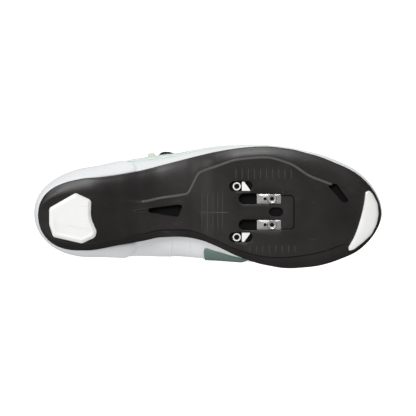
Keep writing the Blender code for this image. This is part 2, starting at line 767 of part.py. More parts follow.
def make_insole(parts, finish):
    """Flat sheet on the outsole, clear of the upper's wall."""
    station = stations(SOLE_HEEL_ROUND, TOE_ROUND, INSOLE_STEPS)[:, None]
    room = WALL + FEATHER_INSET + INSOLE_ROOM
    outer, inner = (sole_half(station, side) - room * sole_ends(station) for side in (-1, 1))
    share = np.linspace(-1, 1, INSOLE_COLUMNS)
    across = share * np.where(share < 0, outer, inner)
    along = 0 * across + room + (SOLE_LENGTH - 2 * room) * station
    low = sole_top(along / SOLE_LENGTH) + CLEARANCE
    under = np.stack([along, across, low], axis=2)
    over = under + np.array([0, 0, INSOLE_THICKNESS])
    rings = np.concatenate([under, over[:, ::-1]], axis=1)
    place("insole", loft("insole", rings), finish, parts)


def overlay(name, columns, height, sides, parts, cutters, finish):
    """Thin body on the upper's face inside an outline drawn from the side, on one side or on both."""
    body = skin_between(name, CLEARANCE, CLEARANCE + OVERLAY_THICKNESS, finish, parts, cutters)
    flat = np.stack([columns["along"] * SOLE_LENGTH, columns["height"] * height], 1)
    reach = sorted([min(sides) * BALL_WIDTH, max(sides) * BALL_WIDTH])
    mesh = prism(f"{name}_outline", round_corners(flat, OVERLAY_CORNER), *reach)
    # The outline is drawn along and up, so the upright prism is turned onto its side
    mesh.transform(Matrix(((1, 0, 0, 0), (0, 0, 1, 0), (0, 1, 0, 0), (0, 0, 0, 1))))
    mesh.flip_normals()
    combine(body, cutter(f"{name}_outline", mesh, cutters), "INTERSECT")


def face_matrix(station, rise, side, grow):
    """Matrix at a spot of the upper's face, its Z along the face's outward normal."""
    spot = upper_face(station, rise, side, grow)
    outwards = upper_face(station, rise, side, grow + 0.01) - spot
    turn = Vector(outwards).to_track_quat("Z", "Y").to_matrix().to_4x4()
    return Matrix.Translation(Vector(spot)) @ turn


def make_dial(parts, dark):
    """Lace dial on the outer quarter: a round base and a ribbed knob."""
    at = face_matrix(DIAL_STATION, DIAL_RISE, -1, OVERLAY_THICKNESS + 2 * CLEARANCE)
    outline = circle((0, 0), DIAL_BASE_RADIUS, DIAL_STEPS)
    base = place("dial_base", prism("dial_base", outline, 0, DIAL_BASE_HEIGHT), dark, parts)
    base.matrix_world = at
    rib = np.arange(2 * KNOB_RIBS)
    radius = KNOB_RADIUS - KNOB_RIB_DEPTH * (rib % 2)
    turn = rib * math.pi / KNOB_RIBS
    ribbed = np.stack([radius * np.cos(turn), radius * np.sin(turn)], 1)
    low = DIAL_BASE_HEIGHT + CLEARANCE
    knob = place("dial_knob", prism("dial_knob", ribbed, low, low + KNOB_HEIGHT), dark, parts)
    knob.matrix_world = at


def lace_point(station, across, lift):
    """Point over the throat: across is 0 on the crown, below 0 towards the outer side."""
    return upper_face(station, 1 - abs(across), -1 if across < 0 else 1, lift)


def smooth_route(route, steps):
    """Points read from a smooth curve through a route's own points."""
    places = np.arange(len(route), dtype=float)
    columns = {"station": places, "along": route[:, 0], "across": route[:, 1]}
    fine = np.linspace(0, len(route) - 1, steps)
    return np.stack([follow(columns, name, fine) for name in ("along", "across")], 1)


def make_lace(parts, black, cream):
    """Lace from the dial through four guides, and the guides beside its turns."""
    lift = 2 * CLEARANCE + OVERLAY_THICKNESS
    points = smooth_route(np.array(LACE_ROUTE), LACE_STEPS)
    lace = bpy.data.curves.new("lace", "CURVE")
    lace.dimensions = "3D"
    lace.bevel_depth = LACE_DIAMETER / 2
    lace.bevel_resolution = 2
    lace.use_fill_caps = True
    spline = lace.splines.new("POLY")
    spline.points.add(len(points) - 1)
    for point, (station, across) in zip(spline.points, points):
        spot = lace_point(station, across, lift + CLEARANCE + LACE_DIAMETER / 2)
        point.co = (*spot, 1)
    place("lace", lace, black, parts)
    for name, station, across in LACE_GUIDES:
        rise = 1 - abs(across) - GUIDE_LAP
        outline = round_corners(rectangle(GUIDE_LENGTH, GUIDE_WIDTH), GUIDE_CORNER)
        guide = place(name, prism(name, outline, 0, GUIDE_HEIGHT), cream, parts)
        guide.matrix_world = face_matrix(station, rise, -1 if across < 0 else 1, lift)


def rectangle(length, width):
    """Corners of a rectangle about the origin, its length along Y."""
    return np.array([(-1, -1), (1, -1), (1, 1), (-1, 1)]) * (width / 2, length / 2)


def evaluated_points(obj, graph):
    """World points and triangles of an object as modelled, with its modifiers."""
    evaluated = obj.evaluated_get(graph)
    mesh = evaluated.to_mesh()
    mesh.calc_loop_triangles()
    points = np.array([obj.matrix_world @ vert.co for vert in mesh.vertices])
    faces = np.array([tri.vertices[:] for tri in mesh.loop_triangles])
    evaluated.to_mesh_clear()
    return points, faces


def centre_of_volume(bodies):
    """Centre of all the bodies' volume."""
    total, moment = 0.0, np.zeros(3)
    for points, faces in bodies:
        a, b, c = (points[faces[:, k]] for k in range(3))
        volume = np.einsum("ij,ij->i", a, np.cross(b, c)) / 6
        total += volume.sum()
        moment += (volume[:, None] * (a + b + c) / 4).sum(axis=0)
    return moment / total


def resting_normal(points, centre):
    """Downward direction in which the shoe rests on its inner side: the hull's face nearest to its centre."""
    shape = bmesh.new()
    for point in points:
        shape.verts.new(point)
    hull = bmesh.ops.convex_hull(shape, input=shape.verts)
    found = []
    for face in hull["geom"]:
        if not isinstance(face, bmesh.types.BMFace):
            continue
        face.normal_update()
        normal = np.array(face.normal)
        height = (np.array(face.verts[0].co) - centre) @ normal
        normal, height = normal * np.sign(height), abs(height)
        if normal[1] > FACES_INWARDS and face.calc_area() > LEAST_FACE:
            found.append((height, *normal))
    shape.free()
    return np.array(min(found)[1:])


def lay_on_side(parts, cutters):
    """Turns the shoe so that it rests on its inner side, with the origin on the floor under its middle."""
    bpy.context.view_layer.update()
    graph = bpy.context.evaluated_depsgraph_get()
    bodies = [evaluated_points(obj, graph) for obj in parts.objects]
    points = np.concatenate([points for points, _ in bodies])
    down = resting_normal(points, centre_of_volume(bodies))
    forward = np.array([1.0, 0, 0]) - down[0] * down
    forward = forward / np.linalg.norm(forward)
    turn = np.array([forward, np.cross(-down, forward), -down])
    turned = points @ turn.T
    low, high = turned.min(axis=0), turned.max(axis=0)
    middle = (low + high) / 2
    shift = -np.array([middle[0], middle[1], low[2]])
    pose = bpy.data.objects.new("lying_pose", None)
    bpy.context.scene.collection.objects.link(pose)
    pose.matrix_world = Matrix.Translation(Vector(shift)) @ Matrix(turn.tolist()).to_4x4()
    for obj in [*parts.objects, *cutters.objects]:
        obj.parent = pose


def main():
    clear_scene()
    parts = collection("cycling_shoe")
    cutters = collection("cutters")
    carbon = material("sole_black", (0.028, 0.026, 0.026), 0.42)
    rubber = material("pad_white", (0.86, 0.86, 0.85), 0.55)
    cloth = material("upper_white", (0.80, 0.82, 0.83), 0.62)
    mint = material("mint", (0.66, 0.80, 0.74), 0.5)
    green = material("panel_green", (0.30, 0.42, 0.37), 0.5)
    lining = material("lining_grey", (0.25, 0.26, 0.27), 0.9)
    foam = material("insole_grey", (0.18, 0.18, 0.19), 0.9)
    metal = material("fitting_steel", (0.62, 0.62, 0.62), 0.3, 1.0)
    dark = material("dial_black", (0.02, 0.02, 0.02), 0.4)
    cream = material("guide_cream", (0.70, 0.66, 0.56), 0.7)
    make_outsole(parts, cutters, carbon)
    make_pad("heel_pad", HEEL_PAD, HEEL_PAD_CORNER, HEEL_PAD_BEVEL, parts, cutters, rubber)
    make_pad("toe_pad", TOE_PAD, TOE_PAD_CORNER, TOE_PAD_BEVEL, parts, cutters, rubber)
    make_fittings(parts, metal, rubber)
    make_upper(parts, cutters, cloth)
    make_insole(parts, foam)
    make_tongue(parts, cutters, lining)
    overlay("heel_counter", COUNTER, HEEL_HEIGHT, (-1, 1), parts, cutters, cloth)
    overlay("quarter_outer", OUTER_QUARTER, INSTEP_HEIGHT, (-1, 0), parts, cutters, mint)
    overlay("quarter_inner", INNER_QUARTER, INSTEP_HEIGHT, (0, 1), parts, cutters, green)
    make_dial(parts, dark)
    make_lace(parts, dark, cream)
    lay_on_side(parts, cutters)


main()
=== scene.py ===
# %% [markdown]
# # A road cycling shoe, seen from below
# The shoe lies empty on its inner side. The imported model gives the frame: every CAD node is already in place,
# in metres. This lesson dresses it. The stiff sole, the pads, the upper and the small fittings are made again
# as finer surfaces on the same sizes, and every finish is built from nodes.

# %% Load the frame
import math

import bmesh
import bpy
import numpy as np
from mathutils import Matrix, Vector


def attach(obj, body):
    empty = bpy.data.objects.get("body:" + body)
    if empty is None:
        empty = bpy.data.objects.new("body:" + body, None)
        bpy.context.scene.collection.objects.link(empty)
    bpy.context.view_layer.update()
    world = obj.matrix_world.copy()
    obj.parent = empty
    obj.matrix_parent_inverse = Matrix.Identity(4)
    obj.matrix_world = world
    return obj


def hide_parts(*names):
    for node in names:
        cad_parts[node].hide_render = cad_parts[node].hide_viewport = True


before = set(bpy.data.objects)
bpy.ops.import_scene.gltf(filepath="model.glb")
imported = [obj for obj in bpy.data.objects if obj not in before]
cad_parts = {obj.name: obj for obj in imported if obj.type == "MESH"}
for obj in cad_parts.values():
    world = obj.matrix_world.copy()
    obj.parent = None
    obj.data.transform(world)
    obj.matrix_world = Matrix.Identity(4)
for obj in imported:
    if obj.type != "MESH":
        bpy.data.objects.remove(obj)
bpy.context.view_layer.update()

# %% [markdown]
# A shoe is easiest to work out standing: X from heel to toe, Y towards the inner side, Z up from the ground.
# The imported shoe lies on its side, so one matrix, the pose, carries every worked-out point to its place.

# %% The pose and the named sizes, in metres
POSE = np.array([
    [0.9990620, 0.0432946, 0.0007167, -0.1369612],
    [0.0, -0.0165507, 0.9998630, -0.0529391],
    [0.0433006, -0.9989252, -0.0165351, 0.0350270],
    [0.0, 0.0, 0.0, 1.0],
])
LENGTH, BALL, HEEL = 0.2775, 0.0985, 0.0588
INSTEP, COLLAR_TOP = 0.092, 0.098
PAD, THICK, ARCH_RISE, SPRING = 0.0033, 0.0075, 0.012, 0.013
STEP, STEP_RUN = 0.0014, 0.0007
OUTER_BAND, INNER_BAND, BROAD_BAND = 0.0034, 0.0022, 0.0095
RIM, TOP_EDGE = 0.0014, 0.0005
SOLE_HEEL_ROUND, SOLE_TOE_ROUND = 0.032, 0.060
FORM_HEEL_ROUND, FORM_TOE_ROUND, CROWN_ROUND = 0.044, 0.060, 0.030
WALL, GAP, FEATHER = 0.0018, 0.0003, 0.0012
OVERHANG_HEEL, OVERHANG_TOE, LEAN = 0.0032, 0.0012, 0.006
OVERLAY = 0.0010
MIDDLE_LINE = -0.0022
# The shares of the length where the heel's width and height turn into the ball's and the instep's, and of the
# rise where the belly is.
WAIST_START, WAIST_RUN = 0.14, 0.52
ANKLE_START, ANKLE_RUN = 0.30, 0.18
BELLY = 0.3


def lying(points):
    """Standing points turned and moved into the shoe's lying place."""
    return points @ POSE[:3, :3].T + POSE[:3, 3]


def table(names, *rows):
    """Rows of numbers as named columns."""
    return dict(zip(names.split(), np.array(rows, float).T))


SOLE = table(
    "station outer inner arch spring plateau_out plateau_in step",
    (0.00, 0.435, 0.493, 0.00, 0.00, 0.60, 0.80, 0.0),
    (0.06, 0.446, 0.494, 0.00, 0.00, 0.60, 0.80, 0.0),
    (0.10, 0.465, 0.494, 0.00, 0.00, 0.59, 0.80, 0.0),
    (0.14, 0.497, 0.495, 0.00, 0.00, 0.58, 0.80, 0.0),
    (0.24, 0.513, 0.397, 0.45, 0.00, 0.38, 0.76, 0.0),
    (0.30, 0.519, 0.328, 0.80, 0.00, 0.28, 0.72, 0.6),
    (0.36, 0.530, 0.259, 1.00, 0.00, 0.33, 0.66, 1.0),
    (0.43, 0.541, 0.232, 0.86, 0.00, 0.36, 0.66, 1.0),
    (0.47, 0.547, 0.243, 0.60, 0.00, 0.71, 0.72, 1.0),
    (0.52, 0.553, 0.285, 0.20, 0.00, 0.77, 0.80, 1.0),
    (0.58, 0.556, 0.352, 0.00, 0.00, 0.83, 0.83, 1.0),
    (0.66, 0.557, 0.416, 0.00, 0.00, 0.84, 0.82, 1.0),
    (0.73, 0.537, 0.443, 0.00, 0.00, 0.78, 0.78, 1.0),
    (0.80, 0.491, 0.432, 0.00, 0.06, 0.62, 0.74, 1.0),
    (0.88, 0.461, 0.424, 0.00, 0.30, 0.55, 0.68, 0.7),
    (0.94, 0.467, 0.438, 0.00, 0.62, 0.52, 0.62, 0.0),
    (1.00, 0.467, 0.438, 0.00, 1.00, 0.52, 0.62, 0.0),
)
FORM = table(
    "station belly_out belly_in belly crown crown_side power",
    (0.00, 0.560, 0.595, 0.240, 1.192, 0.00, 2.8),
    (0.07, 0.572, 0.595, 0.240, 1.192, 0.00, 2.8),
    (0.14, 0.600, 0.595, 0.240, 1.192, 0.00, 2.8),
    (0.24, 0.645, 0.572, 0.230, 1.192, 0.00, 2.7),
    (0.30, 0.633, 0.528, 0.215, 1.136, 0.01, 2.45),
    (0.36, 0.613, 0.491, 0.205, 1.078, 0.01, 2.25),
    (0.42, 0.589, 0.447, 0.200, 1.013, 0.02, 2.1),
    (0.48, 0.585, 0.426, 0.200, 0.93, 0.02, 2.05),
    (0.54, 0.579, 0.408, 0.190, 0.84, 0.02, 2.05),
    (0.60, 0.575, 0.402, 0.150, 0.76, 0.03, 2.0),
    (0.66, 0.567, 0.406, 0.110, 0.69, 0.03, 2.1),
    (0.73, 0.548, 0.421, 0.085, 0.625, 0.03, 2.2),
    (0.80, 0.507, 0.408, 0.075, 0.575, 0.03, 2.3),
    (0.88, 0.485, 0.402, 0.070, 0.53, 0.03, 2.3),
    (0.94, 0.490, 0.415, 0.070, 0.50, 0.02, 2.3),
    (1.00, 0.490, 0.420, 0.070, 0.46, 0.02, 2.3),
)
COLLAR = table(
    "station height",
    (-0.10, 1.03), (0.00, 1.00), (0.06, 0.95), (0.13, 0.77), (0.20, 0.68), (0.26, 0.69),
    (0.31, 0.77), (0.35, 0.86), (0.39, 0.95), (0.43, 1.06), (0.50, 1.26),
)
print("tables:", len(SOLE["station"]), "sole sections,", len(FORM["station"]), "upper sections")

# %% [markdown]
# Between two rows of a table the shoe has to stay smooth, and it must not swing past a peak. A monotone
# cubic does that: level at a peak, and otherwise with the slope that both neighbours share.

# %% The smooth reading of a table, and the rounded ends
def follow(columns, name, station):
    """Cubic through one column: level at each peak, and between like slopes their harmonic mean."""
    places, values = columns["station"], columns[name]
    rates = np.diff(values) / np.diff(places)
    before, after = rates[:-1], rates[1:]
    means = 2 * before * after / np.where(before * after > 0, before + after, 1)
    slopes = np.concatenate([rates[:1], np.where(before * after > 0, means, 0), rates[-1:]])
    piece = np.clip(np.searchsorted(places, station) - 1, 0, len(places) - 2)
    width = places[piece + 1] - places[piece]
    share = np.clip((station - places[piece]) / width, 0, 1)
    start = (1 + 2 * share) * (1 - share) ** 2 * values[piece]
    start_slope = share * (1 - share) ** 2 * width * slopes[piece]
    end = share**2 * (3 - 2 * share) * values[piece + 1]
    return start + start_slope + end + share**2 * (share - 1) * width * slopes[piece + 1]


def rounded_end(distance, radius, power):
    """Share of the full width at a distance from an end: one less the left-over share to a power, rooted."""
    left = 1 - np.clip(distance / radius, 0, 1)
    return (1 - left**power) ** (1 / power)


def soft(share):
    """Smooth step: three times the square less twice the cube, from 0 to 1."""
    share = np.clip(share, 0, 1)
    return share**2 * (3 - 2 * share)


def quarter_round(share):
    """Quarter circle from 0 to 1: the root of one less the square of the left-over share."""
    return np.sqrt(np.clip(1 - (1 - np.clip(share, 0, 1)) ** 2, 0, 1))


def softened(values, times):
    """Values between the ends, each averaged with its neighbours and counted twice itself, times over."""
    for _ in range(times):
        values[1:-1] = (values[:-2] + 2 * values[1:-1] + values[2:]) / 4
    return values


def unit(vectors):
    """Vectors divided by their own length."""
    return vectors / np.maximum(np.linalg.norm(vectors, axis=-1, keepdims=True), 1e-15)


def walked(line):
    """Way walked along a line up to each of its points."""
    return np.concatenate([[0], np.linalg.norm(np.diff(line, axis=0), axis=-1).cumsum()])


def local_width(station):
    """Heel width turning smoothly into ball width along the arch."""
    return HEEL + (BALL - HEEL) * soft((station - WAIST_START) / WAIST_RUN)


def local_height(station):
    """Heel height at the ankle turning smoothly into the instep's height."""
    return COLLAR_TOP + (INSTEP - COLLAR_TOP) * soft((station - ANKLE_START) / ANKLE_RUN)


def sole_ends(station):
    """Narrowing of the sole towards both rounded ends."""
    toe = rounded_end((1 - station) * LENGTH, SOLE_TOE_ROUND, 1.85)
    return rounded_end(station * LENGTH, SOLE_HEEL_ROUND, 2.2) * toe


def sole_half(station, side):
    """Half width of the sole, outwards (-1) or inwards (1)."""
    share = follow(SOLE, "outer" if side < 0 else "inner", station)
    return share * local_width(station) * sole_ends(station)


def sole_low(station):
    """Height of the sole's lowest line above the ground: the pad, the arch and the toe spring."""
    return PAD + ARCH_RISE * follow(SOLE, "arch", station) + SPRING * follow(SOLE, "spring", station)


def end_spaced(radius_heel, radius_toe, ends, middle):
    """Stations from heel to toe: turned by equal angles round both ends, evenly spaced between them."""
    turn = np.linspace(0, math.pi / 2, ends)
    heel = radius_heel * (1 - np.cos(turn)) / LENGTH
    toe = 1 - radius_toe * (1 - np.cos(turn[::-1])) / LENGTH
    return np.concatenate([heel, np.linspace(heel[-1], toe[0], middle + 2)[1:-1], toe])


print("sole width at the ball", round(1000 * float(sole_half(0.7, -1) + sole_half(0.7, 1)), 1), "mm")

# %% [markdown]
# Every finish needs detail at the right size, so the effects that several materials share are node groups:
# a fine grain, a two-way weave and a mask for scuffs. A group puts out only heights, masks and colours,
# and each material decides what to do with them.

# %% Node helpers
def group(name, inputs, outputs):
    """Empty node group with float inputs (name and value) and named float outputs."""
    made = bpy.data.node_groups.new(name, "ShaderNodeTree")
    for label, value in inputs:
        made.interface.new_socket(label, in_out="INPUT", socket_type="NodeSocketFloat").default_value = value
    for label in outputs:
        made.interface.new_socket(label, in_out="OUTPUT", socket_type="NodeSocketFloat")
    return made, made.nodes.new("NodeGroupInput"), made.nodes.new("NodeGroupOutput")


def node(tree, kind, links=(), **settings):
    """New node with its settings, and its inputs given as values or as sockets to link from."""
    made = tree.nodes.new(kind)
    for key, value in settings.items():
        setattr(made, key, value)
    for key, value in dict(links).items():
        if isinstance(value, bpy.types.NodeSocket):
            tree.links.new(value, made.inputs[key])
        else:
            made.inputs[key].default_value = value
    return made


def maths(tree, operation, first, second=0.0, third=0.0):
    """Output of a Math node."""
    return node(tree, "ShaderNodeMath", {0: first, 1: second, 2: third}, operation=operation).outputs[0]


def ramp(tree, value, low, high):
    """Value read on a scale where low is 0 and high is 1."""
    links = {"Value": value, "From Min": low, "From Max": high}
    return node(tree, "ShaderNodeMapRange", links, clamp=True).outputs["Result"]


def blend(tree, share, first, second):
    """Colour between two colours."""
    mix = node(tree, "ShaderNodeMix", {0: share}, data_type="RGBA")
    for key, value in (("A", first), ("B", second)):
        socket = [s for s in mix.inputs if s.name == key and s.type == "RGBA"][0]
        if isinstance(value, bpy.types.NodeSocket):
            tree.links.new(value, socket)
        else:
            socket.default_value = (*value, 1)
    return [s for s in mix.outputs if s.type == "RGBA"][0]


# %% Fine grain: a moulded or a leathery surface, in the object's own coordinates
fine_grain, given, out = group(
    "fine grain", [("Per metre", 900.0), ("Cloud per metre", 30.0)], ["Height", "Cloud"],
)
place = node(fine_grain, "ShaderNodeTexCoord").outputs["Object"]
cells = node(fine_grain, "ShaderNodeTexVoronoi", {"Vector": place, "Scale": given.outputs[0]})
fine = node(fine_grain, "ShaderNodeTexNoise", {"Vector": place, "Scale": given.outputs[0], "Detail": 3.0})
cloud = node(fine_grain, "ShaderNodeTexNoise", {"Vector": place, "Scale": given.outputs[1], "Detail": 4.0})
both = maths(fine_grain, "MULTIPLY_ADD", cells.outputs["Distance"], 0.6, fine.outputs[0])
fine_grain.links.new(both, out.inputs["Height"])
fine_grain.links.new(cloud.outputs[0], out.inputs["Cloud"])

# %% Weave: threads over and under, in the piece's own UV metres
weave, given, out = group("weave", [("Threads per metre", 1200.0)], ["Height", "Thread"])
uv = node(weave, "ShaderNodeTexCoord").outputs["UV"]
parts_of = node(weave, "ShaderNodeSeparateXYZ", {0: uv})
waves = []
for axis in (0, 1):
    turn = maths(weave, "MULTIPLY", parts_of.outputs[axis], given.outputs[0])
    waves.append(maths(weave, "SINE", maths(weave, "MULTIPLY", turn, math.pi)))
over = maths(weave, "MULTIPLY", waves[0], waves[1])
weave.links.new(maths(weave, "MULTIPLY_ADD", over, 0.5, 0.5), out.inputs["Height"])
weave.links.new(maths(weave, "ABSOLUTE", over), out.inputs["Thread"])

# %% Scuffs: long faint scratches with soft patches, for what touches the ground
scuffs, given, out = group("scuffs", [("Amount", 0.5)], ["Mask"])
place = node(scuffs, "ShaderNodeTexCoord").outputs["Object"]
drawn = node(scuffs, "ShaderNodeMapping", {
    "Vector": place, "Scale": (60.0, 900.0, 900.0), "Rotation": (0.3, 0.5, 0.2),
})
lines = node(scuffs, "ShaderNodeTexNoise", {"Vector": drawn.outputs[0], "Scale": 1.0, "Detail": 2.0})
patch = node(scuffs, "ShaderNodeTexNoise", {"Vector": place, "Scale": 45.0, "Detail": 3.0})
thin = ramp(scuffs, lines.outputs[0], 0.62, 0.72)
wide = ramp(scuffs, patch.outputs[0], 0.48, 0.70)
mask = maths(scuffs, "MULTIPLY", thin, wide)
scuffs.links.new(maths(scuffs, "MULTIPLY", mask, given.outputs[0]), out.inputs[0])
print("node groups:", [g.name for g in bpy.data.node_groups])

# %% [markdown]
# A finish is one colour that drifts a little, a roughness that drifts with it, and a bump at the size of the
# real grain. The one function below makes all of them from numbers, so that each material reads as a recipe.

# %% The recipe for a finish
def finish(
    name, colour, shade, rough, grain, bump,
    cloud=30.0, metallic=0.0, sheen=0.0, scuff=0.0, thread=0.0, gloss=0.5,
):
    """Material: colour drifts to shade by a cloud, rough is its range, grain and thread are per metre."""
    made = bpy.data.materials.new(name)
    made.use_nodes = True
    tree = made.node_tree
    shader = tree.nodes["Principled BSDF"]
    shader.inputs["Metallic"].default_value = metallic
    shader.inputs["Sheen Weight"].default_value = sheen
    shader.inputs["Specular IOR Level"].default_value = gloss
    base = node(tree, "ShaderNodeGroup", node_tree=fine_grain)
    base.inputs["Per metre"].default_value = grain
    base.inputs["Cloud per metre"].default_value = cloud
    drift = ramp(tree, base.outputs["Cloud"], 0.35, 0.65)
    painted = blend(tree, drift, colour, shade)
    height = base.outputs["Height"]
    roughness = maths(tree, "MULTIPLY_ADD", drift, rough[1] - rough[0], rough[0])
    if thread:
        cloth = node(tree, "ShaderNodeGroup", node_tree=weave)
        cloth.inputs[0].default_value = thread
        fainter = maths(tree, "MULTIPLY", height, 0.3)
        height = maths(tree, "MULTIPLY_ADD", cloth.outputs["Height"], 1.2, fainter)
        dark = tuple(0.72 * c for c in shade)
        painted = blend(tree, maths(tree, "MULTIPLY", cloth.outputs["Thread"], 0.55), painted, dark)
    if scuff:
        worn = node(tree, "ShaderNodeGroup", node_tree=scuffs)
        worn.inputs[0].default_value = scuff
        light = tuple(min(1, 0.5 * c + 0.09) for c in colour)
        painted = blend(tree, worn.outputs[0], painted, light)
        roughness = maths(tree, "MULTIPLY_ADD", worn.outputs[0], 0.25, roughness)
    tree.links.new(painted, shader.inputs["Base Color"])
    tree.links.new(roughness, shader.inputs["Roughness"])
    raised = node(tree, "ShaderNodeBump", {"Height": height, "Strength": 0.5, "Distance": bump})
    tree.links.new(raised.outputs[0], shader.inputs["Normal"])
    return made


SOLE_BLACK = finish(
    "moulded composite", (0.0150, 0.0125, 0.0118), (0.0195, 0.0165, 0.0158), (0.33, 0.43), 1600, 0.00006,
    scuff=0.35,
)
# Lighter grey for the raised scale lines and grid: a painted highlight where their edges catch the light.
LINE_HIGHLIGHT_GREY = finish(
    "composite with painted highlight", (0.068, 0.063, 0.058), (0.054, 0.050, 0.046), (0.34, 0.44), 1600, 0.00005,
)
# Lighter grey for the plateau's ridge: a painted highlight along the step's edge.
RIDGE_HIGHLIGHT_GREY = finish(
    "painted edge highlight", (0.115, 0.110, 0.104), (0.085, 0.080, 0.076), (0.30, 0.40), 1600, 0.00004,
)
# Near black for painted shade: the groove at the recess's edge, the plate holes, the bolt sockets and the
# shadow under each bolt head.
SHADE_BLACK = finish(
    "painted shade black", (0.003, 0.003, 0.003), (0.006, 0.006, 0.006), (0.5, 0.7), 1500, 0.00002, gloss=0.1,
)
# Black for the vents' mesh, and for the plates that paint the shade deep in the pockets.
MESH_AND_SHADE_BLACK = finish(
    "black vent mesh and painted pocket shade", (0.003, 0.003, 0.003), (0.005, 0.005, 0.005), (0.6, 0.7), 1500, 0.0002,
    thread=1100, gloss=0.12,
)
PAD_WHITE = finish(
    "white rubber", (0.86, 0.86, 0.85), (0.81, 0.81, 0.79), (0.50, 0.62), 1400, 0.00008, scuff=0.5,
)
UPPER_WHITE = finish(
    "white microfibre", (0.80, 0.815, 0.825), (0.75, 0.765, 0.775), (0.50, 0.60), 1500, 0.00010, cloud=18,
)
MINT = finish("mint film", (0.64, 0.75, 0.70), (0.60, 0.71, 0.655), (0.40, 0.50), 1800, 0.00006)
# Darker copy of the mint film, for the film on the inner side that faces down: painted shade.
MINT_IN_SHADE = finish("mint film in painted shade", (0.16, 0.24, 0.20), (0.13, 0.20, 0.17), (0.42, 0.52), 1800, 0.00006)
LINING = finish(
    "grey knit", (0.20, 0.21, 0.22), (0.15, 0.16, 0.17), (0.85, 0.95), 1500, 0.0003, sheen=0.3, thread=900,
)
FOOTBED = finish(
    "footbed cloth", (0.12, 0.12, 0.13), (0.09, 0.09, 0.10), (0.85, 0.95), 1600, 0.0003,
    sheen=0.3, thread=1100,
)
BRIGHT_STEEL = finish(
    "bright steel", (0.90, 0.90, 0.89), (0.82, 0.82, 0.81), (0.25, 0.35), 2200, 0.00003, metallic=0.15,
)
STEEL = finish(
    "satin steel", (0.66, 0.66, 0.65), (0.55, 0.55, 0.54), (0.30, 0.40), 2200, 0.00003,
    metallic=0.65, scuff=0.4,
)
DIAL = finish("dial plastic", (0.012, 0.012, 0.012), (0.018, 0.018, 0.018), (0.32, 0.42), 2000, 0.00005)
CORD = finish(
    "coated cord", (0.03, 0.03, 0.03), (0.05, 0.05, 0.05), (0.45, 0.6), 2400, 0.0002, thread=1800,
)
WEBBING = finish(
    "cream webbing", (0.72, 0.71, 0.60), (0.63, 0.62, 0.51), (0.75, 0.85), 1800, 0.0003, thread=1500,
)
THREAD = finish("white thread", (0.74, 0.75, 0.75), (0.66, 0.67, 0.67), (0.6, 0.7), 2600, 0.0001)
print("finishes:", len(bpy.data.materials))

# %% [markdown]
# Every new piece is a grid of points. The helpers below turn a grid into faces, put it into a mesh in the
# lying pose, weld the points that meet, turn the faces outwards and hand the piece to the frame.

# %% Grids into meshes
def grid_faces(rows, columns, wrap=False):
    """Quads of a grid of points: each joins a point to the next in its row and in the row after."""
    across = columns if wrap else columns - 1
    row, column = np.meshgrid(np.arange(rows - 1), np.arange(across), indexing="ij")
    after = (column + 1) % columns
    here, there = row * columns, (row + 1) * columns
    return np.stack([here + column, here + after, there + after, there + column], -1).reshape(-1, 4)


def lying_mesh(name, points, faces):
    """Mesh of standing points, put into the lying pose."""
    mesh = bpy.data.meshes.new(name)
    mesh.from_pydata(lying(points.reshape(-1, 3)).tolist(), [], faces.tolist())
    return mesh


def weld(mesh):
    """Points that meet become one, and the faces are turned outwards."""
    shape = bmesh.new()
    shape.from_mesh(mesh)
    bmesh.ops.remove_doubles(shape, verts=shape.verts, dist=2e-6)
    bmesh.ops.recalc_face_normals(shape, faces=shape.faces)
    if shape.calc_volume(signed=True) < 0:
        bmesh.ops.reverse_faces(shape, faces=shape.faces)
    shape.to_mesh(mesh)
    shape.free()


def shade(mesh, sharp):
    """Smooth shading, with the edges past an angle in degrees left sharp."""
    mesh.shade_smooth()
    mesh.set_sharp_from_angle(angle=math.radians(sharp))


def make_piece(name, points, faces, material, slot, hides=(), sharp=38, uv=None):
    """Piece in the lying pose that rides the root and replaces the CAD nodes it hides. Its slot is not used."""
    mesh = lying_mesh(name, points, faces)
    if uv is not None:
        layer = mesh.uv_layers.new(name="UVMap")
        layer.data.foreach_set("uv", uv.reshape(-1, 2)[faces.ravel()].astype(np.float32).ravel())
    weld(mesh)
    shade(mesh, sharp)
    mesh.materials.append(material)
    obj = bpy.data.objects.new(name, mesh)
    bpy.context.scene.collection.objects.link(obj)
    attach(obj, "root")
    if hides:
        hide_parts(*hides)
    print(name, len(mesh.polygons), "faces")
    return obj


def make_round(name, rings, material, slot, hides=(), sharp=38, uv=None):
    """Piece whose grid closes round each of its rings."""
    return make_piece(name, rings, grid_faces(*rings.shape[:2], True), material, slot, hides, sharp, uv)


def capped(rings):
    """Rings with one more at each end, drawn together in that end's middle."""
    first, last = (ring.mean(axis=1, keepdims=True) + 0 * ring for ring in (rings[:1], rings[-1:]))
    return np.concatenate([first, rings, last])


def settle(obj, sharp=30):
    """Applies the piece's modifiers for good, and marks its edges sharp again."""
    graph = bpy.context.evaluated_depsgraph_get()
    mesh = bpy.data.meshes.new_from_object(obj.evaluated_get(graph))
    obj.modifiers.clear()
    obj.data = mesh
    shade(mesh, sharp)
    print(obj.name, "settled with", len(mesh.polygons), "faces")


# %% [markdown]
# ## The sole
# The real sole is one stiff moulded plate: a rounded rim, a sloping band, a small step up to a flat plateau,
# and an arch between heel and ball. It could be sculpted, but a section carried from heel to toe keeps the
# step crisp and the band even, so each ring of the grid is one section, read from the table.

# %% The underside's section
def band_parts(station, side):
    """Half width, plateau width, step height and run, band rise and rim radius at each station."""
    half = sole_half(station, side)
    plateau = half * follow(SOLE, "plateau_out" if side < 0 else "plateau_in", station)
    step = STEP * np.clip(follow(SOLE, "step", station), 0, 1)
    rise = 0 * half + (OUTER_BAND if side < 0 else INNER_BAND)
    ends = sole_ends(station)
    return half, plateau, step, STEP_RUN * ends + 1e-9, rise, RIM * ends


